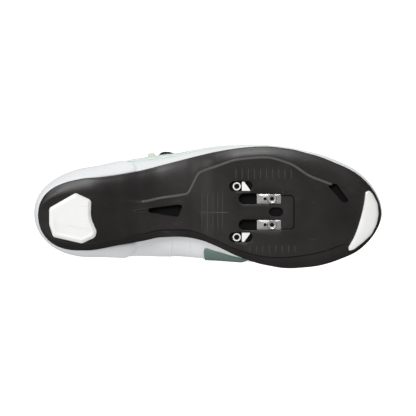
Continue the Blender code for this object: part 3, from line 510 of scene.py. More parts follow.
def underside(station, across):
    """Height of the underside at a place: the low line, the soft step past the plateau, then the band.

    The band rises by its share of the run to a power that grows with the run, so it turns up late where it is
    broad.
    """
    heights = []
    for side in (-1, 1):
        half, plateau, step, step_run, rise, rim = band_parts(station, side)
        beyond = np.abs(across) - plateau
        run = np.maximum(half - rim - plateau - step_run, 1e-9)
        slope = np.clip((beyond - step_run) / run, 0, 1)
        band = (rise - rim) * slope ** (1 + run / BROAD_BAND)
        heights.append(sole_low(station) + step * soft(beyond / step_run) + band)
    return np.where(across < 0, heights[0], heights[1])


def half_profile(station, side):
    """Middle line to rim, as (stations, points): plateau, step, band and a quarter turn round the rim."""
    half, plateau, step, step_run, rise, rim = (v[:, None] for v in band_parts(station, side))
    flat = plateau * np.linspace(0, 1, 9)[None, :-1]
    edge = plateau + step_run * np.linspace(0, 1, 6)[None, :]
    inner_end, outer_end = plateau + step_run, half - rim
    band = inner_end + (outer_end - inner_end) * np.linspace(0, 1, 15)[None, 1:]
    across = np.concatenate([flat, edge, band], axis=1)
    up = underside(station[:, None] + 0 * across, side * across) - sole_low(station)[:, None]
    turn = np.linspace(0, math.pi / 2, 7)[None, 1:]
    rim_across = outer_end + rim * np.sin(turn)
    rim_up = step + rise - rim * np.cos(turn)
    return side * np.concatenate([across, rim_across], 1), np.concatenate([up, rim_up], 1)


def sole_grid(station):
    """Closed rings: outer rim, underside, inner rim, then over the flat top and back."""
    outer, outer_up = half_profile(station, -1)
    inner, inner_up = half_profile(station, 1)
    across = np.concatenate([outer[:, ::-1], inner[:, 1:]], axis=1)
    up = np.concatenate([outer_up[:, ::-1], inner_up[:, 1:]], axis=1)
    low = sole_low(station)[:, None]
    soft_edge = TOP_EDGE * sole_ends(station)[:, None]
    edges = ((-1, outer[:, -1:]), (1, inner[:, -1:]))
    walls = [np.concatenate([x, x - side * soft_edge], 1) for side, x in edges]
    wall_up = THICK - np.concatenate([soft_edge, 0 * soft_edge], 1)
    top_share = np.linspace(1, -1, 15)[None, 1:-1]
    top_across = np.where(top_share > 0, top_share * walls[1][:, 1:], -top_share * walls[0][:, 1:])
    across = np.concatenate([across, walls[1], top_across, walls[0][:, ::-1]], axis=1)
    up = np.concatenate([up, wall_up, THICK + 0 * top_across, wall_up[:, ::-1]], axis=1)
    along = station[:, None] * LENGTH + 0 * across
    return np.stack([along, across, low + up], -1)


# %% The sole's body
station = end_spaced(SOLE_HEEL_ROUND, SOLE_TOE_ROUND, 30, 190)
station[0], station[-1] = 1e-6, 1 - 1e-6
sole = make_round("sole_plate", capped(sole_grid(station)), SOLE_BLACK, "sole", ["outsole"])

# %% [markdown]
# The cleat slots, the rear pockets, the two vents, the front hole and a shallow recess round it are cut with
# Booleans. A moulded hole has a soft lip, so each cutter flares out where it meets the flat face.

# %% Outlines in the sole's plane
def rear_round(start, middle, half):
    """Half circle that closes the rear of a slot."""
    turn = np.linspace(-math.pi / 2, math.pi / 2, 16)
    return np.stack([start + half - half * np.cos(turn), middle - half * np.sin(turn)], 1)


def obround(start, end, middle, width):
    """Slot outline along X: two half circles joined by straight sides."""
    half = width / 2
    turn = np.linspace(-math.pi / 2, math.pi / 2, 16)
    front = np.stack([end - half + half * np.cos(turn), middle + half * np.sin(turn)], 1)
    return np.concatenate([front, rear_round(start, middle, half)])


def rounded(corners, radius, steps=6):
    """Outline whose corners become arcs that touch both sides, with one radius for all or one for each."""
    corners = np.asarray(corners, float)
    radii = np.broadcast_to(radius, len(corners))
    found = []
    for before, corner, after, radius in zip(np.roll(corners, 1, 0), corners, np.roll(corners, -1, 0), radii):
        first, second = before - corner, after - corner
        room = 0.48 * min(np.linalg.norm(first), np.linalg.norm(second))
        first, second = unit(first), unit(second)
        half = math.acos(np.clip(first @ second, -1, 1)) / 2
        back = min(radius / math.tan(half), room)
        size = back * math.tan(half)
        centre = corner + unit(first + second) * size / math.sin(half)
        start, end = corner + first * back - centre, corner + second * back - centre
        sweep = math.pi - 2 * half
        share = np.linspace(0, 1, steps)[:, None]
        arc = (np.sin((1 - share) * sweep) * start + np.sin(share * sweep) * end) / math.sin(sweep)
        found.append(centre + arc)
    return np.concatenate(found)


def blunt_slot(start, end, middle, width, corner=0.0009):
    """Slot with a half circle at the rear, and at the front two small arcs."""
    half = width / 2
    turn = np.linspace(0, math.pi / 2, 7)
    low = np.stack([end - corner + corner * np.sin(turn), middle - half + corner * (1 - np.cos(turn))], 1)
    high = low[::-1] * [1, -1] + [0, 2 * middle]
    return np.concatenate([low, high, rear_round(start, middle, half)])


def inset(outline, distance):
    """Outline drawn in by a distance along the normals of its points."""
    along = np.roll(outline, -1, 0) - np.roll(outline, 1, 0)
    inwards = unit(np.stack([-along[:, 1], along[:, 0]], 1))
    ahead = np.roll(outline, -1, 0)
    area = (outline[:, 0] * ahead[:, 1] - outline[:, 1] * ahead[:, 0]).sum()
    return outline + distance * np.sign(area) * inwards


def stacked(outline, profile):
    """Closed body: the outline drawn in and set at a height by each row of the profile, shut at both ends."""
    rings = [np.column_stack([inset(outline, d), np.full(len(outline), z)]) for d, z in profile]
    return capped(np.stack(rings))


def cut(target, name, outline, depth, lip):
    """Cuts a pocket of a depth into the flat face. Its lip flares out along a quarter circle."""
    flare = [
        (-lip * (1 - math.sin(turn)), PAD + lip * (1 - math.cos(turn)))
        for turn in np.linspace(0, math.pi / 2, 5)
    ]
    profile = [(-lip - 0.0004, PAD - 0.004), (-lip, PAD - 0.00002), *flare[1:], (0, PAD + depth)]
    points = stacked(outline, profile)
    mesh = lying_mesh(name, points, grid_faces(*points.shape[:2], True))
    weld(mesh)
    tool = bpy.data.objects.new(name, mesh)
    bpy.context.scene.collection.objects.link(tool)
    tool.hide_render = tool.hide_viewport = True
    change = target.modifiers.new(name, "BOOLEAN")
    change.operation, change.solver, change.object = "DIFFERENCE", "EXACT", tool
    return tool


def plan(columns):
    """Outline of a pad or a vent in metres: shares of the length and of the ball width."""
    return np.array([(a * LENGTH, s * BALL) for a, s in columns])


# %% Where the sole is open
SLOTS = {"outer": MIDDLE_LINE - 0.0105, "inner": MIDDLE_LINE + 0.0105}
REARS = {"outer": MIDDLE_LINE - 0.02055, "inner": MIDDLE_LINE + 0.02055}
# Outlines of all openings, in the sole's plane.
OPENINGS = {
    "recess": rounded([(0.1870, -0.0158), (0.2068, -0.0158), (0.2068, 0.0120), (0.1870, 0.0120)], 0.0045),
    "arch_vent": rounded(plan((
        (0.320, -0.045), (0.407, -0.078), (0.421, -0.070), (0.407, 0.026), (0.320, -0.012),
    )), 0.002),
    "toe_vent": rounded(plan((
        (0.843, -0.233), (0.852, -0.250), (0.868, -0.250), (0.904, -0.110), (0.895, -0.095), (0.884, -0.102),
    )), 0.002),
    "hole": obround(0.1864, 0.1977, MIDDLE_LINE, 0.0073),
    **{f"slot_{side}": blunt_slot(0.1620, 0.1966, y, 0.0086) for side, y in SLOTS.items()},
    **{f"pocket_{side}": obround(0.1540, 0.1730, y, 0.0082) for side, y in REARS.items()},
}
# Each opening's depth under the flat face, and the size of its lip.
CUTS = (
    ("recess", 0.0004, 0.0003), ("arch_vent", 0.05, 0.0003), ("toe_vent", 0.05, 0.0003),
    ("hole", 0.0026, 0.0004), ("slot_outer", 0.0046, 0.0004), ("slot_inner", 0.0046, 0.0004),
    ("pocket_outer", 0.0024, 0.0004), ("pocket_inner", 0.0024, 0.0004),
)
print("openings:", list(OPENINGS))

# %% Cut the pockets
tools = [cut(sole, name, OPENINGS[name], depth, lip) for name, depth, lip in CUTS]
settle(sole)
for tool in tools:
    bpy.data.objects.remove(tool)

# %% Black mesh in the two vents, and black plates in the pockets that paint the shade deep inside them
# Each plate's name, its opening, and how deep under the flat face it lies.
FLOORS = (
    ("arch_vent_mesh", "arch_vent", ARCH_RISE + 0.0042), ("toe_vent_mesh", "toe_vent", 0.0078),
    ("slot_shade_outer", "slot_outer", 0.0045), ("pocket_shade_outer", "pocket_outer", 0.00225),
    ("slot_shade_inner", "slot_inner", 0.0045), ("pocket_shade_inner", "pocket_inner", 0.00225),
    ("front_hole_shade", "hole", 0.0024),
)


def thin_plate(name, outline, height):
    """Thin plate a little wider than its opening, set inside the sole."""
    points = stacked(inset(outline, -0.0012), [(0, height), (0, height + 0.0008)])
    make_round(name, points, MESH_AND_SHADE_BLACK, "sole", uv=points[..., :2])


for name, opening, depth in FLOORS:
    thin_plate(name, OPENINGS[opening], PAD + depth)

# %% [markdown]
# Raised lines on the sole are thin beads that lie on its surface: the scale beside the cleat and the middle
# grid, both in a lighter grey that paints their highlight, three flow lines, a near-flat black line at the
# recess's front edge that paints the shade of a groove, and the plateau's ridge, whose lighter grey paints a
# highlight. A bead is half a round bar carried along a path.

# %% Beads
BAR_POINTS = 5


def bar_faces(count, steps):
    """Faces of several bars: one closed grid, moved on by the number of points of a bar."""
    one = grid_faces(steps, BAR_POINTS, True)
    return (one[None] + np.arange(count)[:, None, None] * steps * BAR_POINTS).reshape(-1, 4)


def bar_taper(steps, least):
    """Share of a bar's full size along it: 1, and least at its two ends."""
    share = np.linspace(0, 1, steps)
    return np.clip(np.minimum(share, 1 - share) * (steps - 1), least, 1)


def hung(flat, height):
    """Points of a plan hung under the sole by a height."""
    ground = underside(flat[..., 0] / LENGTH, flat[..., 1])
    return np.concatenate([flat, (ground - height)[..., None]], -1)


def beads(name, paths, width, height, material, sunk=0.00004):
    """Half round bars along paths of shape (beads, points, 2) on the underside, thin at both ends."""
    count, steps = paths.shape[:2]
    ahead = unit(np.gradient(paths, axis=1))
    aside = np.stack([-ahead[..., 1], ahead[..., 0]], -1)
    taper = bar_taper(steps, 0.02)[None, :, None]
    turn = np.linspace(0, math.pi, BAR_POINTS)[None, None, :]
    offset = (width / 2) * np.cos(turn) * taper
    spot = paths[:, :, None, :] + offset[..., None] * aside[:, :, None, :]
    points = hung(spot, height * np.sin(turn) * taper - sunk)
    return make_piece(name, points, bar_faces(count, steps), material, "sole", sharp=60)


def straight(starts, ends, steps=6):
    """Straight paths between rows of starts and ends."""
    share = np.linspace(0, 1, steps)[None, :, None]
    return np.asarray(starts)[:, None] * (1 - share) + np.asarray(ends)[:, None] * share


def across_lines(along, start, end):
    """Straight paths across the sole at each place along it, from start to end."""
    along = np.asarray(along)
    return straight(np.stack([along, 0 * along + start], -1), np.stack([along, 0 * along + end], -1))


# %% The raised lines
ticks_outer = across_lines(np.linspace(0.1597, 0.2041, 10), -0.0375, -0.0278)
ticks_inner = across_lines(np.linspace(0.1710, 0.2073, 8), 0.0246, 0.0311)
grid_lines = across_lines([0.1323, 0.1367, 0.1412, 0.1452, 0.1488], -0.0206, 0.0165)
middle = straight([(0.1283, -0.0016)], [(0.1557, -0.0016)])
marks = np.concatenate([ticks_outer, ticks_inner, grid_lines, middle])
# The scale lines' lighter grey is a painted highlight.
beads("scale_lines", marks, 0.00062, 0.00026, LINE_HIGHLIGHT_GREY)
flows = straight(
    [(0.0887, -0.0048), (0.0887, -0.0008), (0.2493, -0.0085)],
    [(0.0750, -0.0024), (0.0750, -0.0014), (0.2606, -0.0004)],
)
beads("flow_lines", flows, 0.0010, 0.0004, SOLE_BLACK)
# A near-flat black bead along the recess's front edge paints the shade of a groove there.
edge = rounded([
    (0.1960, -0.0155), (0.2064, -0.0155), (0.2064, 0.0118), (0.1960, 0.0118), (0.1, 0.0),
], 0.0032, 14)
edge = edge[edge[:, 0] > 0.1959]
beads("recess_shade_line", edge[None], 0.0010, 0.00014, SHADE_BLACK)
# The plateau's ridge is lighter grey: a painted highlight along the edge.
ridge_start, ridge_end = 0.300, 0.855
ridge_at = np.linspace(ridge_start, ridge_end, 240)
ridge = np.stack([ridge_at * LENGTH, -band_parts(ridge_at, -1)[1] - 0.0001], -1)
beads("plateau_ridge", ridge[None], 0.0019, 0.0004, RIDGE_HIGHLIGHT_GREY)

# %% [markdown]
# ## Rubber pads
# The heel pad is a cushion of rubber with a bevelled edge and a soft step across it. The toe pad is a
# crescent that climbs the toe spring. Both sit on the sole, so their points hang from the underside's own
# height.

# %% Heel pad
HEEL_PAD = table(
    "along across radius",
    (0.033, -0.055, 0.0030), (0.110, -0.178, 0.0030), (0.155, -0.118, 0.0035),
    (0.153, 0.020, 0.0200), (0.171, 0.140, 0.0050), (0.166, 0.186, 0.0040),
    (0.128, 0.236, 0.0030), (0.044, 0.182, 0.0032), (0.033, 0.080, 0.0060),
)
PAD_STEP, PAD_STEP_AT, PAD_STEP_SLANT, PAD_STEP_RUN = 0.00045, 0.0052, 0.15, 0.0016


def heel_pad_points():
    """Rings from the foot out: the outline drawn in step by step, up the bevel and over the flat face."""
    outline = rounded(plan(zip(HEEL_PAD["along"], HEEL_PAD["across"])), HEEL_PAD["radius"], 10)
    centre = outline.mean(axis=0)
    bevel = [
        (0.0, -0.0002), (0.0, 0.0010), (0.0002, 0.0013),
        (0.0022, PAD - 0.0001), (0.0025, PAD - 0.00002), (0.0028, PAD),
    ]
    rings = [(inset(outline, d), h) for d, h in bevel]
    last = rings[-1][0]
    shares = np.linspace(1, 0, 44)[1:]
    rings += [(centre + (last - centre) * share, PAD) for share in shares]
    flat = np.stack([ring for ring, _ in rings])
    inner = np.concatenate([np.zeros(len(bevel)), soft((1 - shares) / 0.12)])[:, None]
    past_line = flat[..., 1] - (PAD_STEP_AT + PAD_STEP_SLANT * flat[..., 0])
    step = PAD_STEP * inner * soft(past_line / PAD_STEP_RUN + 0.5)
    points = hung(flat, np.array([h for _, h in rings])[:, None] - step)
    foot = np.tile(points[0].mean(axis=0), (1, points.shape[1], 1))
    return np.concatenate([foot, points])


make_round("heel_rubber", heel_pad_points(), PAD_WHITE, "pad", ["heel_pad"], sharp=34)

# %% Toe pad
def toe_pad_points():
    """Grid between the crescent's two curves. Across it the height rises, stays and falls again."""
    outer = plan((
        (0.953, -0.180), (0.962, -0.196), (0.974, -0.168), (0.9885, -0.086), (0.9915, 0.004),
        (0.9855, 0.086), (0.971, 0.168), (0.945, 0.234), (0.918, 0.292), (0.905, 0.299),
    ))
    inner = plan((
        (0.953, -0.180), (0.9515, -0.150), (0.950, -0.115), (0.948, -0.078), (0.942, 0.000),
        (0.936, 0.061), (0.928, 0.130), (0.919, 0.192), (0.902, 0.274), (0.905, 0.299),
    ))
    fine = np.linspace(0, 1, 90)
    curves = []
    for curve in (outer, inner):
        way = walked(curve)
        wide = np.stack([np.interp(fine, way / way[-1], curve[:, k]) for k in (0, 1)], 1)
        curves.append(softened(wide, 6))
    share = np.array([0, 0, 0.03, 0.10, 0.16, 0.35, 0.6, 0.84, 0.90, 0.97, 1, 1])
    lift = np.array([-0.0002, 0.4, 0.62, 0.93, 1.0, 1.03, 1.03, 1.0, 0.93, 0.62, 0.4, -0.0002])
    flat = curves[0][:, None] * (1 - share)[None, :, None] + curves[1][:, None] * share[None, :, None]
    ends = np.clip(np.minimum(fine, 1 - fine) / 0.05, 0, 1) ** 0.5
    height = np.where(lift > 0, lift * PAD * 0.95, lift)[None, :] * (0.35 + 0.65 * ends[:, None])
    return hung(flat, height)


make_round("toe_rubber", toe_pad_points(), PAD_WHITE, "pad", ["toe_pad"], sharp=34)

# %% [markdown]
# ## Cleat fittings
# Nut plates lie in the two slots, each with a bolt head over it, and a threaded ring and a white pointer lie
# in each rear pocket. They are small turned and stamped parts, so a profile carried round an outline makes
# them.

# %% Plates, bolts, rings and pointers
def shifted(outline, profile):
    """Stacked body whose heights are depths above the sole's flat face."""
    return stacked(outline, [(d, PAD + z) for d, z in profile])


def join(bodies):
    """Points and faces of several stacked bodies as one mesh."""
    points, faces, used = [], [], 0
    for body in bodies:
        faces.append(grid_faces(body.shape[0], body.shape[1], True) + used)
        points.append(body.reshape(-1, 3))
        used += body.shape[0] * body.shape[1]
    return np.concatenate(points), np.concatenate(faces)


def lathe(centre, rows, hex_rows=(), steps=48):
    """Body turned about an upright axis from rows of radius and height. The last rows follow a hexagon."""
    turn = np.arange(steps) * 2 * math.pi / steps
    sixth = math.pi / 3
    flat_radius = 0.93
    hexagon = flat_radius / np.cos((turn % sixth) - sixth / 2)
    rings = []
    for number, (radius, z) in enumerate([*rows, *hex_rows]):
        size = radius * (1 if number < len(rows) else hexagon)
        across, aside = size * np.cos(turn), size * np.sin(turn)
        rings.append(np.stack([centre[0] + across, centre[1] + aside, PAD + z + 0 * turn], 1))
    return np.stack(rings)


plate_start, plate_end, half = 0.1766, 0.1962, 0.0040
depth = 0.0013
low, top = depth - 0.0003, depth - 0.0013
for side, y in SLOTS.items():
    hole, centre = (0.1831, y), (0.1887, y)
    outline = rounded([
        (plate_end, y - half), (plate_end, y + half), (plate_start, y + half), (plate_start, y - half),
    ], 0.0006)
    plate = shifted(outline, [
        (0.0003, 0.0043), (0.0, 0.0040), (0.0, depth + 0.0003), (0.0001, depth + 0.0001), (0.0003, depth),
    ])
    bead = lathe(hole, [
        (0.0, depth - 0.0001), (0.0013, depth - 0.0001), (0.0015, depth - 0.00012),
        (0.0017, depth), (0.0017, depth + 0.0004), (0.0, depth + 0.0004),
    ])
    points, faces = join([plate, bead])
    make_piece(f"nut_plate_{side}_fine", points, faces, STEEL, "steel", [f"nut_plate_{side}"], sharp=30)
    # A black dot in the plate's hole paints the shade inside it.
    dot = lathe(hole, [
        (0.0, depth - 0.00014), (0.00130, depth - 0.00014), (0.00135, depth + 0.0002), (0.0, depth + 0.0002),
    ], steps=32)
    make_round(f"plate_hole_shade_{side}", dot, SHADE_BLACK, "sole")
    bolt = lathe(centre, [
        (0.0, low), (0.0035, low), (0.0036, low - 0.0001), (0.0036, top + 0.0003), (0.0035, top + 0.0001),
        (0.0033, top), (0.0030, top + 0.0001), (0.0028, top + 0.00045), (0.0020, top + 0.0005),
    ], [(0.0019, top + 0.0006), (0.00185, top + 0.0007), (0.0018, low - 0.00005), (0.0, low - 0.00004)])
    make_round(f"bolt_{side}_fine", bolt, STEEL, "steel", [f"bolt_{side}"], sharp=30)
    # A black disc in the bolt's socket paints the shade in it, and a black ring under the head paints its
    # shadow on the plate.
    socket = lathe(centre, [], [(0.0, low - 0.0001), (0.00172, low - 0.0001), (0.00172, low), (0.0, low)])
    seat_shadow = lathe(centre, [
        (0.0, depth - 0.00005), (0.00395, depth - 0.00005), (0.00395, depth + 0.0001), (0.0, depth + 0.0001),
    ])
    make_piece(f"bolt_shade_{side}", *join([socket, seat_shadow]), SHADE_BLACK, "sole")

# %% Rings and pointers in the rear pockets
floor, low = 0.0021, 0.0006
start, reach = 0.1644, 0.0037
for sign, (side, y) in zip((-1, 1), REARS.items()):
    ring = lathe((0.1603, y), [
        (0.0023, floor), (0.0032, floor), (0.0033, floor - 0.0001), (0.0033, low + 0.0002), (0.0032, low),
        (0.0024, low), (0.0022, low + 0.0002), (0.00215, low + 0.0005), (0.0023, low + 0.0008),
        (0.00215, low + 0.0011), (0.0023, floor),
    ])
    make_round(f"ring_{side}_fine", ring, BRIGHT_STEEL, "steel", [f"ring_{side}"], sharp=30)
    far, near = y + sign * reach, y - sign * reach
    corners = [(start, far), (start, near), (start + 0.0072, near), (start + 0.0019, far)]
    pointer = shifted(rounded(corners, 0.0004), [
        (0.0002, 0.0021), (0.0, 0.0019), (0.0, 0.0008), (0.0001, 0.00065), (0.0003, 0.0006),
    ])
    make_round(f"pointer_{side}_fine", pointer, PAD_WHITE, "pointer", [f"pointer_{side}"], sharp=30)

# %% [markdown]
# ## The upper
# The real upper is one thin shell of white microfibre, pulled over a last. Its form is a belly curve from the
# sole out and a superellipse over the crown. Both halves run on the same grid of stations and rises, up to
# the line where the collar or the throat cuts them, so their edges need no Boolean and stay smooth.

# %% The form of the upper
def form_sizes(station, side):
    """Low edge, belly and crown heights, half width, foot width, middle and power of a section."""
    low = sole_low(station) + THICK + GAP
    belly = low + INSTEP * follow(FORM, "belly", station)
    from_toe = (1 - station) * LENGTH
    closing = rounded_end(from_toe, CROWN_ROUND, 2.3)
    crown = belly + (local_height(station) * follow(FORM, "crown", station) - belly) * closing
    ends = rounded_end(station * LENGTH, FORM_HEEL_ROUND, 2.1) * rounded_end(from_toe, FORM_TOE_ROUND, 1.85)
    half = follow(FORM, "belly_out" if side < 0 else "belly_in", station) * local_width(station) * ends
    foot = sole_half(station, side) - FEATHER * sole_ends(station)
    middle = BALL * follow(FORM, "crown_side", station) * ends
    return low, belly, crown, half, foot, middle, follow(FORM, "power", station)


def form_point(station, rise, side):
    """Under the belly a parabola leads out from the sole.

    Over the belly, across is a cosine and height a sine, both to two over the section's power.
    """
    low, belly, crown, half, foot, middle, power = form_sizes(station, side)
    under = np.clip(rise / BELLY, 0, 1)
    turn = np.clip((rise - BELLY) / (1 - BELLY), 0, 1) * math.pi / 2
    above = rise > BELLY
    across_under = side * (foot + (half - foot) * (1 - (1 - under) ** 2))
    across_over = middle + (side * half - middle) * np.clip(np.cos(turn), 0, 1) ** (2 / power)
    height_over = belly + (crown - belly) * np.sin(turn) ** (2 / power)
    height = np.where(above, height_over, low + (belly - low) * under)
    lean = np.where(above, LEAN * np.clip((height - belly) / (COLLAR_TOP - belly), 0, 2) ** 2, 0)
    heel_end = lean - OVERHANG_HEEL + (OVERHANG_HEEL + FEATHER) * (1 - under) ** 2
    toe_end = LENGTH + OVERHANG_TOE - (OVERHANG_TOE + FEATHER) * (1 - under) ** 2
    along = heel_end + (toe_end - heel_end) * station
    return np.stack([along, np.where(above, across_over, across_under), height], -1)


def form_face(station, rise, side, grow):
    """Point at a distance outside the form: the form's point plus its outward normal times the distance."""
    station, rise, grow = np.broadcast_arrays(*(np.asarray(value, float) for value in (station, rise, grow)))
    small = 1e-4
    inside = np.clip(station, 2 * small, 1 - 2 * small)
    level = np.clip(rise, small, 1 - small)
    along = form_point(inside + small, level, side) - form_point(inside - small, level, side)
    up = form_point(inside, level + small, side) - form_point(inside, level - small, side)
    heel, toe = station < small, station > 1 - small
    along = np.where(heel[..., None], [0, side, 0], np.where(toe[..., None], [0, -side, 0], along))
    up = np.where((heel | toe)[..., None], up * [1, 0, 1] + [0, 0, 1e-9], up)
    outwards = unit(side * np.cross(up, along))
    return form_point(np.clip(station, 0, 1), rise, side) + grow[..., None] * outwards


def form_station(along):
    """Station of a place along the shoe, counted from the heel's overhang to the toe's."""
    return (along + OVERHANG_HEEL) / (LENGTH + OVERHANG_HEEL + OVERHANG_TOE)


def rise_at_height(station, side, height):
    """Rise above the belly where the form reaches a height: the sine read backwards."""
    low, belly, crown, *_, power = form_sizes(station, side)
    share = np.clip((height - belly) / np.maximum(crown - belly, 1e-9), 0, 1)
    turn = np.arcsin(share ** (power / 2))
    over = BELLY + (1 - BELLY) * turn / (math.pi / 2)
    return np.where(height > belly, over, BELLY * (height - low) / (belly - low))


def rise_at_across(station, side, across):
    """Rise on the crown where the form is that far from the middle line: the cosine read backwards."""
    *_, half, _, middle, power = form_sizes(station, side)
    share = np.clip((across - middle) / (side * half - middle + 1e-12), 0, 1)
    return BELLY + (1 - BELLY) * np.arccos(share ** (power / 2)) / (math.pi / 2)


crown_height = float(form_point(np.array(0.45), np.array(1.0), 1)[2])
print("upper crown at mid foot", round(1000 * crown_height, 1), "mm up")

# %% Where the collar and the throat cut the upper
THROAT_REAR, THROAT_FRONT, THROAT_WIDTH = 0.074, 0.175, 0.024
COLLAR_TILT = 0.05


def cut_rise(station, side):
    """Lower one of the throat's rise and the collar's, which is found by going back and forth six times."""
    rise = rise_at_height(station, side, COLLAR_TOP * follow(COLLAR, "height", station))
    for _ in range(6):
        spot = form_point(station, rise, side)
        line = COLLAR_TOP * follow(COLLAR, "height", spot[..., 0] / LENGTH) + COLLAR_TILT * spot[..., 1]
        rise = np.clip(rise_at_height(station, side, line), BELLY, 1)
    along = form_point(station, np.ones_like(station), side)[..., 0]
    radius = THROAT_WIDTH / 2
    past = np.clip((along - (THROAT_FRONT - radius)) / radius, 0, 1)
    half = radius * np.sqrt(1 - past**2)
    open_throat = (along > THROAT_REAR) & (along < THROAT_FRONT)
    throat = rise_at_across(station, side, side * half)
    return np.where(open_throat, np.minimum(rise, throat), rise)


turn = np.linspace(0, math.pi / 2, 26)
front = form_station(THROAT_FRONT)
heel_turn = FORM_HEEL_ROUND * (1 - np.cos(turn)) / LENGTH
toe_turn = 1 - FORM_TOE_ROUND * (1 - np.cos(turn[::-1])) / LENGTH
throat_turn = front - (THROAT_WIDTH / 2) / LENGTH * (1 - np.sin(turn))
station = np.concatenate([
    heel_turn, np.linspace(heel_turn[-1], throat_turn[0], 92)[1:-1], throat_turn,
    np.linspace(front, toe_turn[0], 40)[1:-1], toe_turn,
])
print("upper stations:", len(station))

# %% The upper's shell
UNDER = 0.30


def shell_half(station, side):
    """Outer and inner face of one half, with some levels under the belly and the rest up to the edge."""
    top = np.where(station > front, 1.0, cut_rise(station, side))[:, None]
    level = np.concatenate([np.linspace(0, UNDER, 14)[:-1], np.linspace(UNDER, 1, 33)])[None, :]
    above = np.clip(level - UNDER, 0, 1) / (1 - UNDER)
    split = BELLY * np.minimum(level / UNDER, 1) + above * (top - BELLY)
    return [form_face(station[:, None], split, side, grow) for grow in (0.0, -WALL)]


def shell(station):
    """Both halves. Past the throat they meet on the crown, so only the open stretch gets an edge strip."""
    points, faces, used = [], [], 0
    for side in (-1, 1):
        grid = np.stack(shell_half(station, side))
        rows, columns = grid.shape[1:3]
        block = grid_faces(rows, columns)
        count = rows * columns
        faces += [block + used, block + used + count]
        open_rows = np.arange(int((station < front).sum()))
        for column, spread in ((columns - 1, open_rows), (0, np.arange(rows - 1))):
            a = spread * columns + column + used
            b = a + columns
            faces.append(np.stack([a, b, b + count, a + count], 1))
        points.append(grid.reshape(-1, 3))
        used += 2 * count
    return np.concatenate(points), np.concatenate(faces)


make_piece("upper_shell", *shell(station), UPPER_WHITE, "upper", ["upper"], sharp=50)

# %% [markdown]
# A padded lining rolls over the collar's edge, so no raw wall shows. It is a profile of distances, out from
# the form and down from the edge, carried along the collar from one side of the throat round the heel to the
# other. A thin binding closes the throat's edge in the same way.

# %% Collar lining and throat binding
def edge_profile(stations, side, profile):
    """Grid beside the cut edge: each profile row is a distance outside the form and one below the edge."""
    top = cut_rise(stations, side)
    small = 1e-3
    below = form_point(stations, top - small, side)
    pace = np.linalg.norm(form_point(stations, top, side) - below, axis=-1) / small
    out, down = profile[:, 0], profile[:, 1]
    rise = top[:, None] - down[None, :] / pace[:, None]
    return form_face(stations[:, None], rise, side, out[None, :])


def edge_band(outer_stations, inner_stations, profile):
    """Closed band: the profile carried along the outer edge and then along the inner one."""
    outer = edge_profile(outer_stations, -1, profile)
    return capped(np.concatenate([outer, edge_profile(inner_stations, 1, profile)]))


def smooth_profile(rows, times):
    """Closed curve through the rows: each side is cut at a quarter from both of its ends, times over."""
    line = np.array(rows, float)
    for _ in range(times):
        after = np.roll(line, -1, 0)
        line = np.stack([0.75 * line + 0.25 * after, 0.25 * line + 0.75 * after], 1).reshape(-1, 2)
    return line


collar_stations = station[station < 0.405]
lining = smooth_profile([
    (0.0007, 0.0016), (0.0008, -0.0003), (-0.0006, -0.0016), (-0.0034, -0.0012), (-0.0058, 0.0030),
    (-0.0060, 0.0100), (-0.0044, 0.0180), (-0.0023, 0.0260), (-0.0016, 0.0260), (-0.0017, 0.0020),
    (0.0001, 0.0010),
], 2)
rings = edge_band(collar_stations[::-1], collar_stations[1:], lining)
along = walked(rings[:, 0])[:, None] + 0 * rings[..., 0]
around = walked(lining)[None, :] + 0 * along
make_round("collar_lining", rings, LINING, "tongue", sharp=70, uv=np.stack([along, around], -1))

throat_stations = station[(station > 0.395) & (station < front)]
binding = smooth_profile([(0.0006, 0.0014), (0.0006, -0.0006), (-0.0024, -0.0006), (-0.0024, 0.0014)], 3)
rings = edge_band(throat_stations, throat_stations[::-1], binding)
make_round("throat_binding", rings, UPPER_WHITE, "upper", sharp=70)

# %% [markdown]
# ## Tongue and footbed
# The tongue is a padded sheet that lies under the throat and stands a little above the collar. The footbed is
# a thin cushion on the sole. Each is a grid with a top and an under face that close softly at the edge.

# %% Tongue
def pillow(count_u, count_v):
    """Two shares over a square from -1 to 1, closer together towards its edges, and how near the edge is."""
    u = np.sin(np.linspace(-1, 1, count_u) * math.pi / 2)
    v = np.sin(np.linspace(-1, 1, count_v) * math.pi / 2)
    u, v = np.meshgrid(u, v, indexing="ij")
    return u, v, np.minimum(1 - np.abs(u), 1 - np.abs(v))


def tongue_faces():
    """Along from collar to throat, across by the sheet's half width, and both faces meet at the edge."""
    rear, frontmost, half_wide, rear_round_off = 0.094, 0.185, 0.022, 0.012
    half_thick, clear, channel_deep, channel_wide = 0.0015, 0.0017, 0.0004, 0.0065
    u, v, edge = pillow(70, 40)
    along = (rear + frontmost) / 2 + (frontmost - rear) / 2 * u
    ahead = np.clip((along - (frontmost - half_wide)) / half_wide, 0, 1)
    behind = np.clip((rear + rear_round_off - along) / rear_round_off, 0, 1)
    narrowing = np.sqrt(np.clip(1 - ahead**2, 0.0025, 1)) * np.sqrt(np.clip(1 - 0.55 * behind**2, 0, 1))
    half = half_wide * narrowing
    place_at = form_station(along)
    *_, middle, _ = form_sizes(place_at, 1)
    across = middle + v * half
    side_rise = [rise_at_across(place_at, side, across) for side in (-1, 1)]
    round_off = quarter_round(edge / 0.12)
    channel = channel_deep * np.cos(v * half / channel_wide * 2 * math.pi)
    faces = []
    for depth in (half_thick * round_off + channel * round_off, -half_thick * round_off):
        grow = -WALL - GAP - clear + depth
        sides = [form_face(place_at, side_rise[k], side, grow) for k, side in enumerate((-1, 1))]
        faces.append(np.where((across < middle)[..., None], sides[0], sides[1]))
    return faces, np.stack([along, across], -1)


